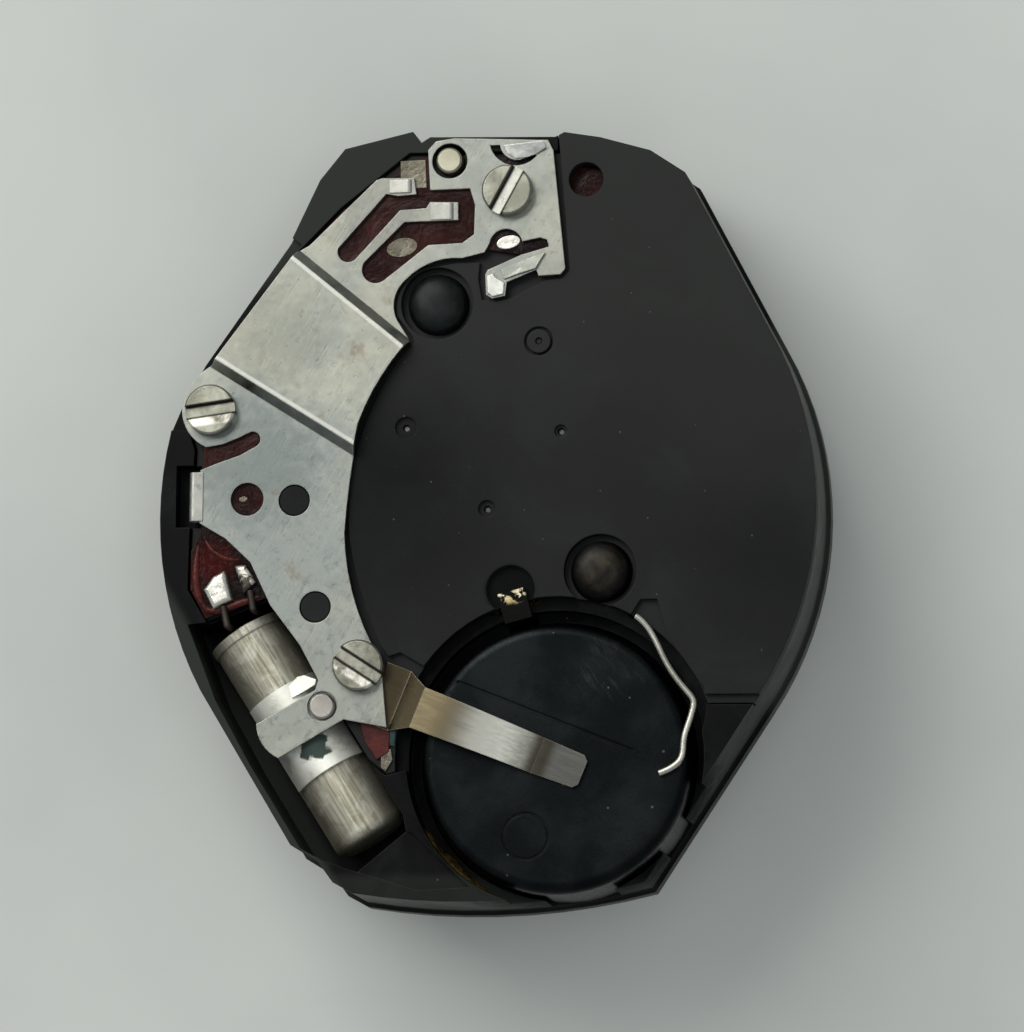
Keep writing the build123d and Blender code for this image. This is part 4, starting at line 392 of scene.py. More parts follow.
def white_moulding():
    made, tree, shader = new_material("white_moulding", paint(226, 222, 208), 0.0, 0.45)
    texture = use_group(tree, grain, {"Fineness": 18.0, "Cloud Size": 0.8})
    tone = blend_colours(tree, texture["Clouds"], paint(214, 209, 192), paint(231, 228, 216))
    send(tree, shader, tone)
    bump(tree, shader, texture["Height"], 2.0)
    return made


steel = bright_steel("polished_steel", paint(160, 160, 154), paint(186, 185, 178), 0.28)
white_plastic = white_moulding()
dress(sheet_iron(), "stator", "coil_core")
dress(wound_copper(), "coil_winding")
dress(white_plastic, "coil_cheek_upper", "coil_cheek_lower")
dress(steel, "motor_screw_upper", "motor_screw_lower")


# ---- Rotor, train and motion works ----
# The rotor is a sintered magnet on a moulded arbor. The wheels are stamped brass with cut teeth, riveted on
# turned steel pinions; the hour wheel and the setting wheel run under a cover on the dial side.

def turned_brass():
    made, tree, shader = new_material("turned_brass", paint(206, 172, 96), 1.0, 0.3)
    texture = use_group(tree, grain, {"Fineness": 12.0, "Cloud Size": 0.8})
    edges = use_group(tree, edge_wear, {"Width": 0.025, "Raggedness": 0.2})
    tarnish = use_group(tree, stain, {"Fineness": 0.9, "Threshold": 0.58, "Softness": 0.1})
    tone = blend_colours(tree, texture["Clouds"], paint(188, 152, 80), paint(216, 184, 108))
    tone = tint(tree, tone, tarnish["Mask"], 0.4, paint(140, 104, 58))
    tone = tint(tree, tone, edges["Mask"], 0.6, paint(240, 218, 160))
    send(tree, shader, tone, texture["Height"], 0.22, 0.4)
    bump(tree, shader, texture["Height"], 1.2, edges["Rounded Normal"])
    return made


def sintered_magnet():
    made, tree, shader = new_material("sintered_magnet", paint(84, 84, 88), 0.8, 0.5)
    texture = use_group(tree, grain, {"Fineness": 22.0, "Cloud Size": 1.2})
    send(tree, shader, blend_colours(tree, texture["Clouds"], paint(70, 71, 75), paint(98, 98, 100)))
    bump(tree, shader, texture["Height"], 4.0)
    return made


# Pinion steel has a dark tone as painted shade, for the pivot tips that stand dark in the holes of the
# bridge; every part of this steel takes it.
pinion_steel = bright_steel("pinion_steel", paint(74, 76, 79), paint(98, 99, 101), 0.34, 0.12)
dress(sintered_magnet(), "rotor_magnet")
dress(
    turned_brass(), "intermediate_wheel", "seconds_wheel", "third_wheel", "centre_wheel", "minute_wheel",
    "hour_wheel",
)
dress(
    pinion_steel, "intermediate_pinion", "seconds_arbor", "third_pinion", "cannon_pinion", "setting_wheel",
    "minute_post", "setting_post",
)


# ---- Keyless works ----
# The setting lever, the yoke and the sliding pinion are hardened steel. From above only the push pin of the
# lever shows, standing through the hole of the contact plate, with a pale top.

lever_steel = bright_steel("lever_steel", paint(148, 145, 126), paint(168, 165, 147), 0.4)
dress(lever_steel, "setting_lever")
dress(pinion_steel, "yoke", "yoke_post", "sliding_pinion")


# ---- Circuit board, chip and coil terminal board ----
# A thin dark red laminate with tinned pads lies on the flange of the bridge, under the contact plate. The
# chip is sealed in black resin. The board is glossy and uneven, with painted shade where it lies in the dark
# under the plate's hook and tongue and by the crystal's leads.

board_top = 3.15


def lacquered_board():
    made, tree, shader = new_material("lacquered_board", paint(44, 12, 8), 0.0, 0.2)
    shader.inputs["Specular IOR Level"].default_value = 0.13
    texture = use_group(tree, grain, {"Fineness": 9.0, "Cloud Size": 1.1})
    lumps = use_group(tree, stain, {"Fineness": 0.7, "Threshold": 0.5, "Softness": 0.2})
    edges = use_group(tree, edge_wear, {"Width": 0.04, "Raggedness": 0.4})
    tone = blend_colours(tree, texture["Clouds"], paint(40, 14, 11), paint(60, 27, 22))
    tone = tint(tree, tone, lumps["Mask"], 0.6, paint(24, 9, 7))
    red = use_group(
        tree, patch, {"Centre": (-6.97, -1.3, board_top), "Radius": 0.8, "Raggedness": 0.6, "Core": 0.2}
    )
    # Painted shade: three dark patches where the board lies in the dark, under the plate's hook, under its
    # tongue and by the crystal's leads.
    for x, y, radius in ((0.9, 6.6, 0.95), (0.75, 9.0, 0.8), (-6.4, -1.4, 2.0)):
        darkened = use_group(
            tree, patch, {"Centre": (x, y, board_top), "Radius": radius, "Raggedness": 0.5, "Core": 0.5}
        )
        tone = tint(tree, tone, darkened["Mask"], 0.85, paint(10, 4, 3))
    tone = tint(tree, tone, red["Mask"], 0.85, paint(60, 6, 3))
    tone = tint(tree, tone, edges["Mask"], 0.5, paint(84, 24, 16))
    send(tree, shader, tone, texture["Height"], 0.1, 0.28)
    bump(tree, shader, lumps["Mask"], 14.0, edges["Rounded Normal"])
    return made


def sealing_resin():
    made, tree, shader = new_material("sealing_resin", paint(24, 24, 25), 0.0, 0.35)
    texture = use_group(tree, grain, {"Fineness": 6.0, "Cloud Size": 1.0})
    send(tree, shader, blend_colours(tree, texture["Clouds"], paint(18, 18, 19), paint(34, 34, 35)))
    bump(tree, shader, texture["Height"], 8.0)
    return made


def tinned(name, low, high, dark_share):
    """Tin or solder: bright, lumpy, with dark specks."""
    made, tree, shader = new_material(name, low, 0.9, 0.3)
    texture = use_group(tree, grain, {"Fineness": 5.0, "Cloud Size": 2.4})
    specks = use_group(tree, stain, {"Fineness": 3.4, "Threshold": 1.0 - dark_share, "Softness": 0.04})
    tone = blend_colours(tree, texture["Clouds"], low, high)
    tone = tint(tree, tone, specks["Mask"], 0.9, paint(26, 18, 12))
    send(tree, shader, tone, texture["Height"], 0.2, 0.45)
    bump(tree, shader, texture["Height"], 14.0)
    return made


def seat_piece(name, form, material):
    """Turns built faces into a named piece that rides on the base."""
    bmesh.ops.recalc_face_normals(form, faces=form.faces[:])
    mesh = bpy.data.meshes.new(name)
    form.to_mesh(mesh)
    form.free()
    mesh.materials.append(material)
    piece = bpy.data.objects.new(name, mesh)
    bpy.context.scene.collection.objects.link(piece)
    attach(piece, "base")
    return piece


def round_edges(piece, rounding, segments):
    """Rounds the edges of a piece; the rounding is in millimetres."""
    soft = piece.modifiers.new("rounded", "BEVEL")
    soft.width = rounding * MM
    soft.segments = segments


def thicken(form, thickness):
    """Gives open faces a thickness in millimetres, upwards."""
    grown = bmesh.ops.extrude_face_region(form, geom=form.faces[:])
    top = [v for v in grown["geom"] if isinstance(v, bmesh.types.BMVert)]
    bmesh.ops.translate(form, verts=top, vec=(0, 0, thickness * MM))


def lift_outline(name, outline, low, high, material, rounding):
    """A thin flat piece with a given outline in millimetres."""
    form = bmesh.new()
    form.faces.new([form.verts.new((x * MM, y * MM, low * MM)) for x, y in outline])
    thicken(form, high - low)
    round_edges(seat_piece(name, form, material), rounding, 3)


def oval(x, y, long_half, short_half, turn, count=20):
    """Points of an oval, its long half turned by an angle in degrees."""
    lean = math.radians(turn)
    points = []
    for step in range(count):
        angle = 2 * math.pi * step / count
        along, across = long_half * math.cos(angle), short_half * math.sin(angle)
        points.append((
            x + along * math.cos(lean) - across * math.sin(lean),
            y + along * math.sin(lean) + across * math.cos(lean),
        ))
    return points


board_red = lacquered_board()
dress(board_red, "circuit_board", "coil_terminal_board")
dress(sealing_resin(), "ic_chip")
pad_tin = tinned("pad_tin", paint(88, 84, 73), paint(112, 108, 95), 0.25)
solder_bright = tinned("solder_bright", paint(196, 195, 184), paint(224, 223, 214), 0.28)
solder_dark = tinned("solder_dark", paint(160, 156, 140), paint(226, 222, 208), 0.52)
dress(solder_bright, "solder_pad_outer")
dress(solder_dark, "solder_pad_inner")
pad_sink = 0.01
for name, outline, height, metal, rounding in (
    ("pad_window", oval(-2.23, 6.68, 0.4, 0.24, 12), 0.03, pad_tin, 0.012),
    ("pad_hook", oval(0.48, 6.77, 0.31, 0.17, 12), 0.05, solder_bright, 0.02),
    ("pad_test", oval(-6.2, 0.31, 0.11, 0.07, 10), 0.02, pad_tin, 0.008),
    ("pad_upper", [(-2.3, 8.9), (-1.66, 8.92), (-1.62, 8.2), (-2.28, 8.17)], 0.03, pad_tin, 0.012),
):
    lift_outline(name, outline, board_top - pad_sink, board_top + height, metal, rounding)


# ---- Cell, gasket and lower contact ----
# The button cell is a drawn steel can crimped over a gasket and a cap, coloured a dark blue-grey. A strip
# touches the cap. Its material is painted black as shade but for a ragged gilt patch at its end, where the
# notch beside the well shows bright metal.

def dark_grey_cell():
    made, tree, shader = new_material("dark_grey_cell", paint(25, 27, 28), 1.0, 0.36)
    texture = use_group(tree, grain, {"Fineness": 16.0, "Cloud Size": 0.5})
    edges = use_group(tree, edge_wear, {"Width": 0.05, "Raggedness": 0.7})
    tarnish = use_group(tree, stain, {"Fineness": 0.8, "Threshold": 0.55, "Softness": 0.1, "Shift": 3.0})
    specks = use_group(tree, dust, {"Fineness": 3.6, "Speck Size": 0.13, "Share": 0.22})
    scratches = use_group(tree, brush, {"Lean": 1.0, "Along": 1.6, "Across": 9.0})
    scuffed = use_group(
        tree, patch, {"Centre": (3.0, -4.1, 3.3), "Radius": 1.2, "Raggedness": 1.4, "Core": 0.1}
    )
    tone = blend_colours(tree, texture["Clouds"], paint(19, 22, 22), paint(30, 33, 34))
    tone = tint(tree, tone, tarnish["Mask"], 0.6, paint(17, 20, 20))
    scored = maths(tree, "MULTIPLY", scuffed["Mask"], ramp(tree, scratches["Streak"], 0.52, 0.64))
    tone = tint(tree, tone, scored, 0.35, paint(50, 57, 56))
    tone = tint(tree, tone, edges["Mask"], 0.25, paint(84, 86, 84))
    tone = tint(tree, tone, specks["Mask"], 0.5, paint(92, 98, 94))
    send(tree, shader, tone, texture["Height"], 0.3, 0.46)
    bump(tree, shader, maths(tree, "ADD", texture["Height"], scored), 2.2, edges["Rounded Normal"])
    return made


def gilt_strip():
    made, tree, shader = new_material("gilt_strip", paint(206, 178, 112), 1.0, 0.45)
    shader.inputs["Specular IOR Level"].default_value = 0.06
    texture = use_group(tree, grain, {"Fineness": 8.0, "Cloud Size": 2.6})
    bare = use_group(tree, patch, {"Centre": (0.62, -1.95, 3.1), "Radius": 0.5, "Raggedness": 0.5})
    torn = use_group(tree, stain, {"Fineness": 4.2, "Threshold": 0.53, "Softness": 0.03})
    shown = maths(tree, "MULTIPLY", bare["Mask"], torn["Mask"])
    tone = blend_colours(tree, texture["Clouds"], paint(160, 144, 98), paint(216, 208, 176))
    # Outside the ragged patch the strip is painted black, as shade for the parts that lie in the dark under
    # the cell and in the notch.
    tone = blend_colours(tree, shown, paint(7, 6, 5), tone)
    send(tree, shader, tone)
    tree.links.new(shown, shader.inputs["Metallic"])
    bump(tree, shader, texture["Height"], 6.0)
    return made


dress(dark_grey_cell(), "cell_can", "cell_cap")
dress(white_plastic, "cell_gasket")
dress(gilt_strip(), "negative_contact")


# ---- Contact plate, its screws and rivet ----
# One sheet of nickel plated spring metal, stamped and bent, holds the circuit down and carries the plus side
# of the cell. Its plating is satin with stains and a bluish lower half; three screws and a rivet fix it.

def plated_sheet(name, warm, cool, lean, stains, bend_highlights=(), darker_patches=()):
    """Nickel plated sheet: brushed along one direction, blotched, with brown stains, bright edges, darker
    patches and painted highlights along its bends.
    """
    made, tree, shader = new_material(name, warm, 1.0, 0.33)
    lines = use_group(tree, brush, {"Lean": -math.radians(lean), "Along": 1.2, "Across": 22.0})
    texture = use_group(tree, grain, {"Fineness": 9.0, "Cloud Size": 0.42})
    mottle = use_group(tree, grain, {"Fineness": 5.0, "Cloud Size": 2.2})
    edges = use_group(tree, edge_wear, {"Width": 0.035, "Raggedness": 0.25})
    blotch = use_group(tree, stain, {"Fineness": 0.7, "Threshold": 0.5, "Softness": 0.16, "Shift": 5.0})
    brown = use_group(tree, stain, {"Fineness": 1.3, "Threshold": 0.66, "Softness": 0.07, "Shift": 2.0})
    specks = use_group(tree, dust, {"Fineness": 6.0, "Speck Size": 0.12, "Share": 0.2})
    tone = blend_colours(tree, texture["Clouds"], warm, cool)
    tone = tint(tree, tone, mottle["Clouds"], 0.25, paint(120, 122, 114))
    tone = tint(tree, tone, blotch["Mask"], 0.4, paint(118, 122, 119))
    tone = tint(tree, tone, lines["Streak"], 0.22, paint(112, 112, 108))
    # Darker patches of a given colour, bluish-grey over the lower half and grey over the fingers.
    for centre, radius, grey, strength in darker_patches:
        dim = use_group(tree, patch, {"Centre": centre, "Radius": radius, "Raggedness": 0.8, "Core": 0.3})
        tone = tint(tree, tone, dim["Mask"], strength, grey)
    tone = tint(tree, tone, brown["Mask"], stains, paint(112, 96, 72))
    tone = tint(tree, tone, specks["Mask"], 0.6, paint(70, 64, 54))
    # Painted highlight: a thin light line along each bend, where the raised sheet's edge catches the light.
    for direction, middle in bend_highlights:
        bent = use_group(
            tree, band, {"Direction": direction, "Middle": middle, "Half Width": 0.02, "Softness": 0.05}
        )
        tone = tint(tree, tone, bent["Mask"], 0.4, paint(222, 222, 214))
    tone = tint(tree, tone, edges["Mask"], 0.6, paint(222, 222, 215))
    send(tree, shader, tone, mottle["Height"], 0.27, 0.5)
    bump(tree, shader, maths(tree, "ADD", lines["Streak"], mottle["Height"]), 1.7, edges["Rounded Normal"])
    return made


# Groove: painted shade, as dark lines along both edges of a straight slot
groove, start, end = open_group(
    "groove", [("Centre", "vector", (0.0, 0.0, 0.0)), ("Direction", "vector", (0.0, 1.0, 0.0)),
               ("Half Width", "float", 0.15), ("Line", "float", 0.03)],
    [("Mask", "float")],
)
offset = put(groove, "ShaderNodeVectorMath", {0: in_mm(groove), 1: start.outputs[0]}, operation="SUBTRACT")
across = put(
    groove, "ShaderNodeVectorMath", {0: offset.outputs[0], 1: start.outputs[1]}, operation="DOT_PRODUCT"
)
aside = maths(groove, "ABSOLUTE", across.outputs["Value"])
from_edge = maths(groove, "ABSOLUTE", maths(groove, "SUBTRACT", aside, start.outputs[2]))
groove.links.new(ramp(groove, maths(groove, "DIVIDE", from_edge, start.outputs[3]), 1.0, 0.3), end.inputs[0])


def slotted_head(name, place, angle, lip, shine):
    """A nickel plated screw head, mottled; painted shade along its slot, a painted highlight beside it."""
    made, tree, shader = new_material(name, paint(140, 140, 128), 1.0, 0.34)
    lean = math.radians(angle)
    way = Vector((-math.sin(lean), math.cos(lean), 0.0))
    texture = use_group(tree, grain, {"Fineness": 7.0, "Cloud Size": 1.6})
    edges = use_group(tree, edge_wear, {"Width": 0.03, "Raggedness": 0.3})
    slot_shade = use_group(
        tree, groove,
        {"Centre": (place[0], place[1], 0.0), "Direction": way, "Half Width": 0.155, "Line": 0.06},
    )
    smear = use_group(
        tree, stain, {"Fineness": 1.6, "Threshold": 0.52, "Softness": 0.12, "Shift": angle * 0.1}
    )
    middle = place[0] * way[0] + place[1] * way[1] + lip
    wear_and_painted_highlight = use_group(tree, band, {"Direction": way, "Middle": middle, "Half Width": 0.08, "Softness": 0.08})
    tone = blend_colours(tree, texture["Clouds"], paint(128, 128, 115), paint(160, 160, 147))
    tone = tint(tree, tone, smear["Mask"], 0.5, paint(98, 96, 84))
    shining = maths(tree, "MULTIPLY", wear_and_painted_highlight["Mask"], maths(tree, "SUBTRACT", 1.0, smear["Mask"]))
    tone = tint(tree, tone, shining, 0.9, shine)
    tone = tint(tree, tone, edges["Mask"], 0.5, paint(222, 222, 212))
    tone = tint(tree, tone, slot_shade["Mask"], 0.92, paint(20, 18, 14))
    send(tree, shader, tone, texture["Height"], 0.26, 0.44)
    bump(tree, shader, texture["Height"], 3.0, edges["Rounded Normal"])
    return made


# Lines of painted highlight along the plate's two bends: the direction across each bend and its distance.
bend_highlight_lines = (((0.633, 0.774, 0.0), 1.8), ((0.531, 0.847, 0.0), -0.36))
# Darker patches on the plate: centre, radius, colour and strength.
darker_places = (
    ((-5.6, -0.6, 3.2), 4.6, paint(126, 133, 131), 0.6),
    ((-5.9, 1.3, 3.2), 2.4, paint(100, 108, 107), 0.65),
    ((-2.9, 7.5, 3.3), 1.6, paint(112, 113, 110), 0.6),
    ((-5.4, 4.6, 3.5), 2.0, paint(124, 126, 116), 0.5),
)
plate_nickel = plated_sheet(
    "plate_nickel", paint(166, 166, 152), paint(150, 154, 146), 60, 0.5, bend_highlight_lines, darker_places
)
dress(plate_nickel, "contact_plate")
# Each screw: name, place, slot angle, and the offset and colour of its stripe of painted highlight.
for side, place, angle, lip, shine in (
    ("upper", (0.48, 8.04), 62, 0.0, paint(196, 196, 186)),
    ("left", (-7.02, 2.54), 8, -0.27, paint(236, 233, 222)),
    ("lower", (-3.15, -3.97), -33, -0.27, paint(236, 235, 222)),
):
    dress(slotted_head(f"screw_{side}_nickel", place, angle, lip, shine), f"plate_screw_{side}")
screw_steel = bright_steel("screw_steel", paint(146, 143, 136), paint(170, 166, 158), 0.34)
dress(screw_steel, "clip_rivet")


def bent_tip(name, near, far, half_width, level, drop):
    """A finger's end: flat on the finger, then curled down to the pad of the board."""
    thick, rise, flat_share = 0.03, 0.012, 0.7
    way = Vector((far[0] - near[0], far[1] - near[1], 0.0))
    length = way.length
    way.normalize()
    side = Vector((-way.y, way.x, 0.0))
    profile = [(0.0, 0.0), (length * flat_share, rise)]
    profile += [
        (length * flat_share + math.sin(turn) * drop, rise - (1 - math.cos(turn)) * drop)
        for turn in (0.35, 0.7, 1.05, 1.4)
    ]
    form = bmesh.new()
    rows = []
    for along, height in profile:
        base = Vector((near[0], near[1], level + height)) + way * along
        rows.append([
            form.verts.new((base + side * half_width * sign + Vector((0, 0, lift))) * MM)
            for sign, lift in ((-1, 0), (1, 0), (1, thick), (-1, thick))
        ])
    for first, second in zip(rows[:-1], rows[1:]):
        for corner in range(4):
            following = (corner + 1) % 4
            form.faces.new((first[corner], first[following], second[following], second[corner]))
    form.faces.new(reversed(rows[0]))
    form.faces.new(rows[-1])
    round_edges(seat_piece(name, form, tip_nickel), 0.01, 2)


tip_nickel = plated_sheet("tip_nickel", paint(168, 168, 160), paint(184, 184, 177), 20, 0.15)
sheet_top = 3.3
bent_tip("finger_tip_lower", (-1.5, 7.56), (-0.79, 7.57), 0.215, sheet_top, 0.13)
bent_tip("finger_tip_upper", (-2.55, 8.22), (-1.87, 8.23), 0.17, sheet_top, 0.13)
bent_tip("side_tab_bend", (-7.2, 0.36), (-7.54, 0.36), 0.62, sheet_top, 0.12)


def bent_flap(name, outline, material):
    """A thin sheet with a height for each corner, in millimetres."""
    form = bmesh.new()
    corners = [form.verts.new((x * MM, y * MM, z * MM)) for x, y, z in outline]
    hub = form.verts.new(sum((corner.co for corner in corners), Vector()) / len(corners))
    for first, second in zip(corners, corners[1:] + corners[:1]):
        form.faces.new((hub, first, second))
    thicken(form, 0.04)
    seat_piece(name, form, material)


# A brighter copy of the plated sheet, as painted highlight on the bent tongue and on the hook's tip.
lit_nickel = plated_sheet("lit_nickel", paint(232, 232, 224), paint(240, 240, 234), 20, 0.1)
bent_flap(
    "plate_tongue",
    [(0.34, 9.22, 3.34), (1.36, 9.31, 3.4), (1.44, 9.14, 3.36), (1.18, 8.99, 3.31), (0.96, 8.91, 3.3),
     (0.66, 8.89, 3.3), (0.46, 9.0, 3.31)],
    lit_nickel,
)
bent_flap(
    "plate_hook_bend",
    [(0.4, 5.8, 3.31), (0.8, 5.94, 3.33), (1.2, 6.06, 3.34), (1.44, 6.46, 3.34), (1.1, 6.36, 3.33),
     (0.7, 6.2, 3.32), (0.3, 6.04, 3.31)],
    plate_nickel,
)
lift_outline(
    "plate_hook_tip",
    [(-0.04, 5.9), (-0.02, 5.46), (0.1, 5.35), (0.39, 5.42), (0.41, 5.72), (0.2, 5.84), (0.12, 5.95)],
    3.29, 3.35, lit_nickel, 0.02,
)


# ---- Crystal, its leads, solder and clip ----
# The quartz crystal sits in a drawn nickel silver tube, streaked along its length. A bent band clips it down,
# and there is a dark green dab on the band.

crystal_lean = -57.6


def drawn_can():
    made, tree, shader = new_material("drawn_can", paint(160, 158, 140), 1.0, 0.55)
    lines = use_group(tree, brush, {"Lean": -math.radians(crystal_lean), "Along": 0.7, "Across": 14.0})
    texture = use_group(tree, grain, {"Fineness": 12.0, "Cloud Size": 0.8})
    brown = use_group(tree, stain, {"Fineness": 1.1, "Threshold": 0.58, "Softness": 0.1, "Shift": 7.0})
    edges = use_group(tree, edge_wear, {"Width": 0.06, "Raggedness": 0.3})
    white = use_group(tree, stain, {"Fineness": 1.9, "Threshold": 0.57, "Softness": 0.08, "Shift": 4.0})
    drawn_lines = ramp(tree, lines["Streak"], 0.28, 0.72)
    tone = blend_colours(tree, drawn_lines, paint(192, 190, 174), paint(136, 132, 114))
    tone = tint(tree, tone, white["Mask"], 0.4, paint(216, 215, 203))
    tone = tint(tree, tone, brown["Mask"], 0.5, paint(110, 100, 80))
    tone = tint(tree, tone, edges["Mask"], 0.5, paint(228, 226, 216))
    send(tree, shader, tone, lines["Streak"], 0.5, 0.66)
    bump(tree, shader, maths(tree, "ADD", lines["Streak"], texture["Height"]), 1.8, edges["Rounded Normal"])
    return made


def clip_band():
    made, tree, shader = new_material("clip_band", paint(206, 206, 196), 1.0, 0.5)
    texture = use_group(tree, grain, {"Fineness": 10.0, "Cloud Size": 1.0})
    edges = use_group(tree, edge_wear, {"Width": 0.03, "Raggedness": 0.2})
    green = use_group(tree, patch, {"Centre": (-4.3, -5.92, 3.0), "Radius": 0.42, "Raggedness": 1.4})
    brown = use_group(tree, stain, {"Fineness": 1.6, "Threshold": 0.6, "Softness": 0.1, "Shift": 9.0})
    tone = blend_colours(tree, texture["Clouds"], paint(204, 204, 192), paint(230, 230, 220))
    tone = tint(tree, tone, brown["Mask"], 0.45, paint(130, 124, 104))
    tone = tint(tree, tone, edges["Mask"], 0.7, paint(240, 240, 234))
    tone = blend_colours(tree, green["Mask"], tone, paint(14, 44, 33))
    send(tree, shader, tone)
    bare = maths(tree, "SUBTRACT", 0.8, maths(tree, "MULTIPLY", green["Mask"], 0.8))
    tree.links.new(bare, shader.inputs["Metallic"])
    bump(tree, shader, texture["Height"], 4.0, edges["Rounded Normal"])
    return made


can_metal = drawn_can()
dress(can_metal, "crystal_can", "crystal_header")
# The crystal's leads are painted dark as shade, for they lie in the dark gap between the board and the can.
dress(
    bright_steel("lead_wire", paint(60, 55, 50), paint(82, 77, 70), 0.5, 0.1),
    "crystal_lead_outer", "crystal_lead_inner",
)
clip_metal = clip_band()
dress(clip_metal, "crystal_clip")
bent_flap(
    "clip_ear",
    [(-4.98, -4.44, 3.08), (-4.76, -4.2, 3.07), (-4.58, -4.16, 3.08), (-4.27, -4.27, 3.09),
     (-4.3, -4.4, 3.09), (-4.55, -4.56, 3.1), (-4.88, -4.74, 3.1)],
    clip_metal,
)


# ---- Battery strap and side spring ----
# The strap is a leaf of plated spring strip, welded under the contact plate, folded up and arched to press
# its flat tip on the cell; it is browned at the fold. Its light and shade are painted along it: dark at the
# root and at the fold before the tip, a highlight on the arch, a darker grey on the tip. The side spring is
# bent from bright round wire.

strap_lean = -21.6


def arched_strap():
    made, tree, shader = new_material("arched_strap", paint(150, 149, 140), 1.0, 0.3)
    way = (math.cos(math.radians(strap_lean)), math.sin(math.radians(strap_lean)), 0.0)
    lines = use_group(tree, brush, {"Lean": -math.radians(strap_lean), "Along": 0.8, "Across": 16.0})
    texture = use_group(tree, grain, {"Fineness": 10.0, "Cloud Size": 0.8})
    root = use_group(tree, band, {"Direction": way, "Middle": -0.9, "Half Width": 0.5, "Softness": 0.5})
    browned = use_group(tree, band, {"Direction": way, "Middle": -0.4, "Half Width": 1.3, "Softness": 1.1})
    arch_highlight = use_group(tree, band, {"Direction": way, "Middle": 2.3, "Half Width": 0.3, "Softness": 0.9})
    fold_shade = use_group(tree, band, {"Direction": way, "Middle": 3.62, "Half Width": 0.1, "Softness": 0.3})
    end_grey = use_group(tree, band, {"Direction": way, "Middle": 4.5, "Half Width": 0.7, "Softness": 0.3})
    edges = use_group(tree, edge_wear, {"Width": 0.03, "Raggedness": 0.2})
    tone = blend_colours(tree, lines["Streak"], paint(128, 127, 117), paint(110, 108, 98))
    # Painted light along the strap: a highlight on the arch, shade at the root under the plate, a darker grey
    # tip and shade at the fold before it.
    tone = tint(tree, tone, arch_highlight["Mask"], 0.75, paint(190, 189, 178))
    tone = tint(tree, tone, browned["Mask"], 0.85, paint(82, 72, 50))
    tone = tint(tree, tone, root["Mask"], 0.7, paint(44, 39, 29))
    tone = tint(tree, tone, end_grey["Mask"], 0.75, paint(80, 82, 79))
    tone = tint(tree, tone, fold_shade["Mask"], 0.85, paint(52, 48, 38))
    tone = tint(tree, tone, edges["Mask"], 0.55, paint(220, 218, 208))
    send(tree, shader, tone, lines["Streak"], 0.28, 0.4)
    bump(tree, shader, maths(tree, "ADD", lines["Streak"], texture["Height"]), 0.5, edges["Rounded Normal"])
    return made


dress(arched_strap(), "battery_strap")
dress(bright_steel("spring_wire", paint(168, 166, 154), paint(196, 194, 182), 0.3), "side_spring")


# ---- Motion cover on the dial side ----
# A thin plated sheet holds the motion works down, fixed by two flat slotted screws.

dress(plated_sheet("cover_nickel", paint(182, 182, 174), paint(194, 195, 188), 15, 0.25), "motion_cover")
dress(screw_steel, "cover_screw_left", "cover_screw_right")


# ---- Bits left in the gaps ----
# Small ends show beside the crystal, taken for the flexible circuit's: a red-brown tail, a teal edge and a
# grey tag. A brown crust clings to the wall of the well.

def dull_bit(name, low, high, roughness):
    """Lacquer, film or crust: cloudy and slightly lumpy."""
    made, tree, shader = new_material(name, low, 0.0, roughness)
    shader.inputs["Specular IOR Level"].default_value = 0.18
    texture = use_group(tree, grain, {"Fineness": 9.0, "Cloud Size": 3.0})
    tone = blend_colours(tree, texture["Clouds"], low, high)
    send(tree, shader, tone, texture["Height"], roughness - 0.1, roughness + 0.1)
    bump(tree, shader, texture["Height"], 12.0)
    return made


tail_low = 2.99
for name, outline, thickness, material, slot in (
    (
        "circuit_tail",
        [(-3.16, -5.36), (-2.62, -5.3), (-2.4, -5.62), (-2.42, -6.1), (-2.72, -6.3), (-3.02, -5.85)],
        0.1, dull_bit("tail_film", paint(80, 28, 22), paint(54, 18, 14), 0.4), "board",
    ),
    (
        "circuit_tail_edge", [(-2.4, -5.5), (-2.24, -5.56), (-2.26, -5.98), (-2.4, -5.94)],
        0.1, dull_bit("teal_film", paint(36, 62, 60), paint(20, 36, 38), 0.35), "board",
    ),
    (
        "strap_tag", [(-2.62, -6.06), (-2.36, -6.02), (-2.32, -6.3), (-2.5, -6.6), (-2.62, -6.5)],
        0.07, pad_tin, "solder",
    ),
):
    lift_outline(name, outline, tail_low, tail_low + thickness, material, 0.02)


def swell(piece, levels):
    """Rounds a whole piece by subdividing it."""
    soft = piece.modifiers.new("rounded", "SUBSURF")
    soft.levels = soft.render_levels = levels


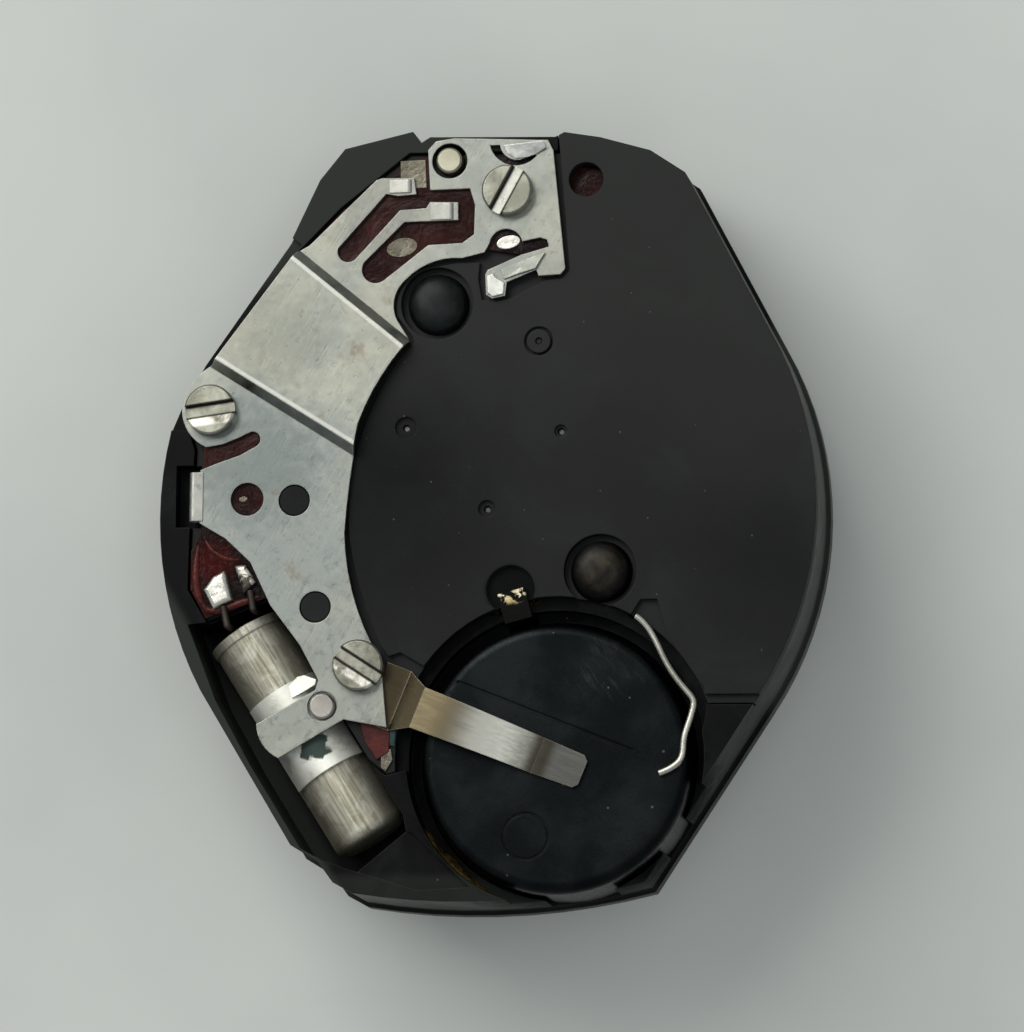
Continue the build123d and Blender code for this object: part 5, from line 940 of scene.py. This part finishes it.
def wall_crust(name, centre, radius, first, last, low, high):
    """A lumpy crust on the round wall of the well; angles in degrees, lengths in millimetres."""
    chance = random.Random(7)
    form = bmesh.new()
    steps, levels = 22, 7
    sunk, thinnest, thin_lump, more_lump, skin = 0.01, 0.02, 0.05, 0.13, 0.015
    waviness = 0.18
    rows = []
    for level in range(levels + 1):
        height = low + (high - low) * level / levels
        row = []
        for step in range(steps + 1):
            angle = math.radians(first + (last - first) * step / steps)
            taper = math.sin(math.pi * step / steps) ** 0.5 * (1 - level / levels) ** 0.4
            inward = thinnest + taper * (thin_lump + more_lump * chance.random())
            reach = radius + sunk - inward
            wave = (high - low) * waviness * (chance.random() - 0.5) * (0 < level < levels)
            row.append(form.verts.new((
                (centre[0] + reach * math.cos(angle)) * MM, (centre[1] + reach * math.sin(angle)) * MM,
                (height + wave) * MM,
            )))
        rows.append(row)
    for lower, upper in zip(rows[:-1], rows[1:]):
        for step in range(steps):
            form.faces.new((lower[step], lower[step + 1], upper[step + 1], upper[step]))
    # Known fault: the new faces have no normals yet, so both sides of the skin land in one place and the
    # crust has no thickness. Calling form.normal_update() before this line would give it the skin.
    bmesh.ops.solidify(form, geom=form.faces[:], thickness=-skin * MM)
    crust = dull_bit("brown_crust", paint(50, 38, 22), paint(104, 82, 44), 0.4)
    swell(seat_piece(name, form, crust), 1)


wall_crust("well_crust", (1.776, -6.274), 3.74, 208, 243, 2.2, 2.98)


def lacquer_ridge(name, path, half_width, height):
    """A low round-backed ridge of red lacquer on the board, along a path in millimetres."""
    form = bmesh.new()
    steps, sunk, end_share = 6, 0.01, 0.3
    rows = []
    for number, (x, y) in enumerate(path):
        before, after = path[max(number - 1, 0)], path[min(number + 1, len(path) - 1)]
        way = Vector((after[0] - before[0], after[1] - before[1])).normalized()
        taper = end_share if number in (0, len(path) - 1) else 1.0
        row = []
        for step in range(steps + 1):
            turn = math.pi * step / steps
            aside = math.cos(turn) * half_width * taper
            lift = board_top - sunk + math.sin(turn) * height * taper
            row.append(form.verts.new(Vector((x - way.y * aside, y + way.x * aside, lift)) * MM))
        rows.append(row)
    for first, second in zip(rows[:-1], rows[1:]):
        for step in range(steps + 1):
            after = (step + 1) % (steps + 1)
            form.faces.new((first[step], first[after], second[after], second[step]))
    form.faces.new(rows[0])
    form.faces.new(reversed(rows[-1]))
    swell(seat_piece(name, form, ridge_red), 2)


ridge_red = dull_bit("ridge_lacquer", paint(76, 26, 18), paint(44, 10, 7), 0.24)
lacquer_ridge(
    "board_ridge_outer",
    [(-7.32, -0.8), (-7.4, -1.4), (-7.38, -1.95), (-7.22, -2.35), (-7.02, -2.58), (-6.6, -2.46),
     (-6.1, -2.28), (-5.7, -2.14)],
    0.11, 0.08,
)
lacquer_ridge("board_ridge_inner", [(-7.16, -0.7), (-7.0, -1.0), (-6.6, -1.24), (-6.25, -1.22)], 0.08, 0.06)


# ---- Table, light and camera ----
# The movement lies tipped on a pale grey table. The camera looks straight down on the table, and the light is
# a broad soft window from the upper left.

tip_angle, table_drop, table_half = 12, -1.93, 600
tilt = Matrix.Rotation(math.radians(tip_angle), 4, Vector((1, 1, 0)).normalized())
up_from_table = (tilt @ Vector((0, 0, 1))).normalized()


def table_top():
    made, tree, shader = new_material("table_top", paint(202, 206, 201), 0.0, 0.6)
    place = put(tree, "ShaderNodeTexCoord").outputs["Object"]
    slow = put(tree, "ShaderNodeTexNoise", {"Vector": place, "Scale": 60.0, "Detail": 4.0})
    stretched = put(
        tree, "ShaderNodeMapping", {"Vector": place, "Rotation": (0, 0, 0.7), "Scale": (14.0, 700.0, 1.0)}
    )
    hairs = put(
        tree, "ShaderNodeTexNoise",
        {"Vector": stretched.outputs[0], "Scale": 1.0, "Detail": 1.0, "Distortion": 0.4},
    )
    clouds = ramp(tree, slow.outputs[0], 0.35, 0.65)
    strands = ramp(tree, hairs.outputs[0], 0.74, 0.78, 0.0, 0.35)
    tone = blend_colours(tree, clouds, paint(198, 202, 197), paint(208, 212, 206))
    tone = blend_colours(tree, strands, tone, paint(226, 229, 224))
    send(tree, shader, tone)
    behind = put(tree, "ShaderNodeNewGeometry")
    clear = put(tree, "ShaderNodeBsdfTransparent")
    either = put(
        tree, "ShaderNodeMixShader",
        {0: behind.outputs["Backfacing"], 1: shader.outputs[0], 2: clear.outputs[0]},
    )
    tree.links.new(either.outputs[0], tree.nodes["Material Output"].inputs["Surface"])
    return made


table_mesh = bpy.data.meshes.new("table")
form = bmesh.new()
bmesh.ops.create_grid(form, x_segments=4, y_segments=4, size=table_half * MM)
form.to_mesh(table_mesh)
form.free()
table = bpy.data.objects.new("table", table_mesh)
bpy.context.scene.collection.objects.link(table)
table.matrix_world = Matrix.Translation(up_from_table * table_drop * MM) @ tilt
table_mesh.materials.append(table_top())


def soft_light(name, place, size, watts, colour):
    """A square lamp in the table's frame, aimed at the movement. Places and sizes in millimetres."""
    lamp = bpy.data.lights.new(name, "AREA")
    lamp.shape = "SQUARE"
    lamp.size = size * MM
    lamp.energy = watts
    lamp.color = colour
    holder = bpy.data.objects.new(name, lamp)
    bpy.context.scene.collection.objects.link(holder)
    at = tilt @ (Vector(place) * MM)
    holder.location = at
    holder.rotation_mode = "QUATERNION"
    holder.rotation_quaternion = (-at).to_track_quat("-Z", "Y")


soft_light("window", (-186, 216, 222), 270, 0.98, (1.0, 0.985, 0.95))
soft_light("ceiling", (40, 40, 330), 150, 0.08, (0.96, 0.99, 1.0))

world = bpy.data.worlds.new("room")
bpy.context.scene.world = world
world.use_nodes = True
sky = world.node_tree.nodes["Background"]
sky.inputs["Color"].default_value = (0.93, 0.96, 1.0, 1.0)
sky.inputs["Strength"].default_value = 0.43

focal_pixels, photo_height, camera_place = 7200, 1032, (27.12, -26.67, 179.32)
view_camera = bpy.data.cameras.new("photo_camera")
view_camera.sensor_width = 36.0
view_camera.lens = focal_pixels / photo_height * view_camera.sensor_width
view_camera.clip_start = 0.01
view_camera.clip_end = 5.0
camera = bpy.data.objects.new("photo_camera", view_camera)
bpy.context.scene.collection.objects.link(camera)
camera.matrix_world = Matrix.Translation(Vector(camera_place) * MM) @ tilt
bpy.context.scene.camera = camera
bpy.context.scene.view_settings.view_transform = "Standard"
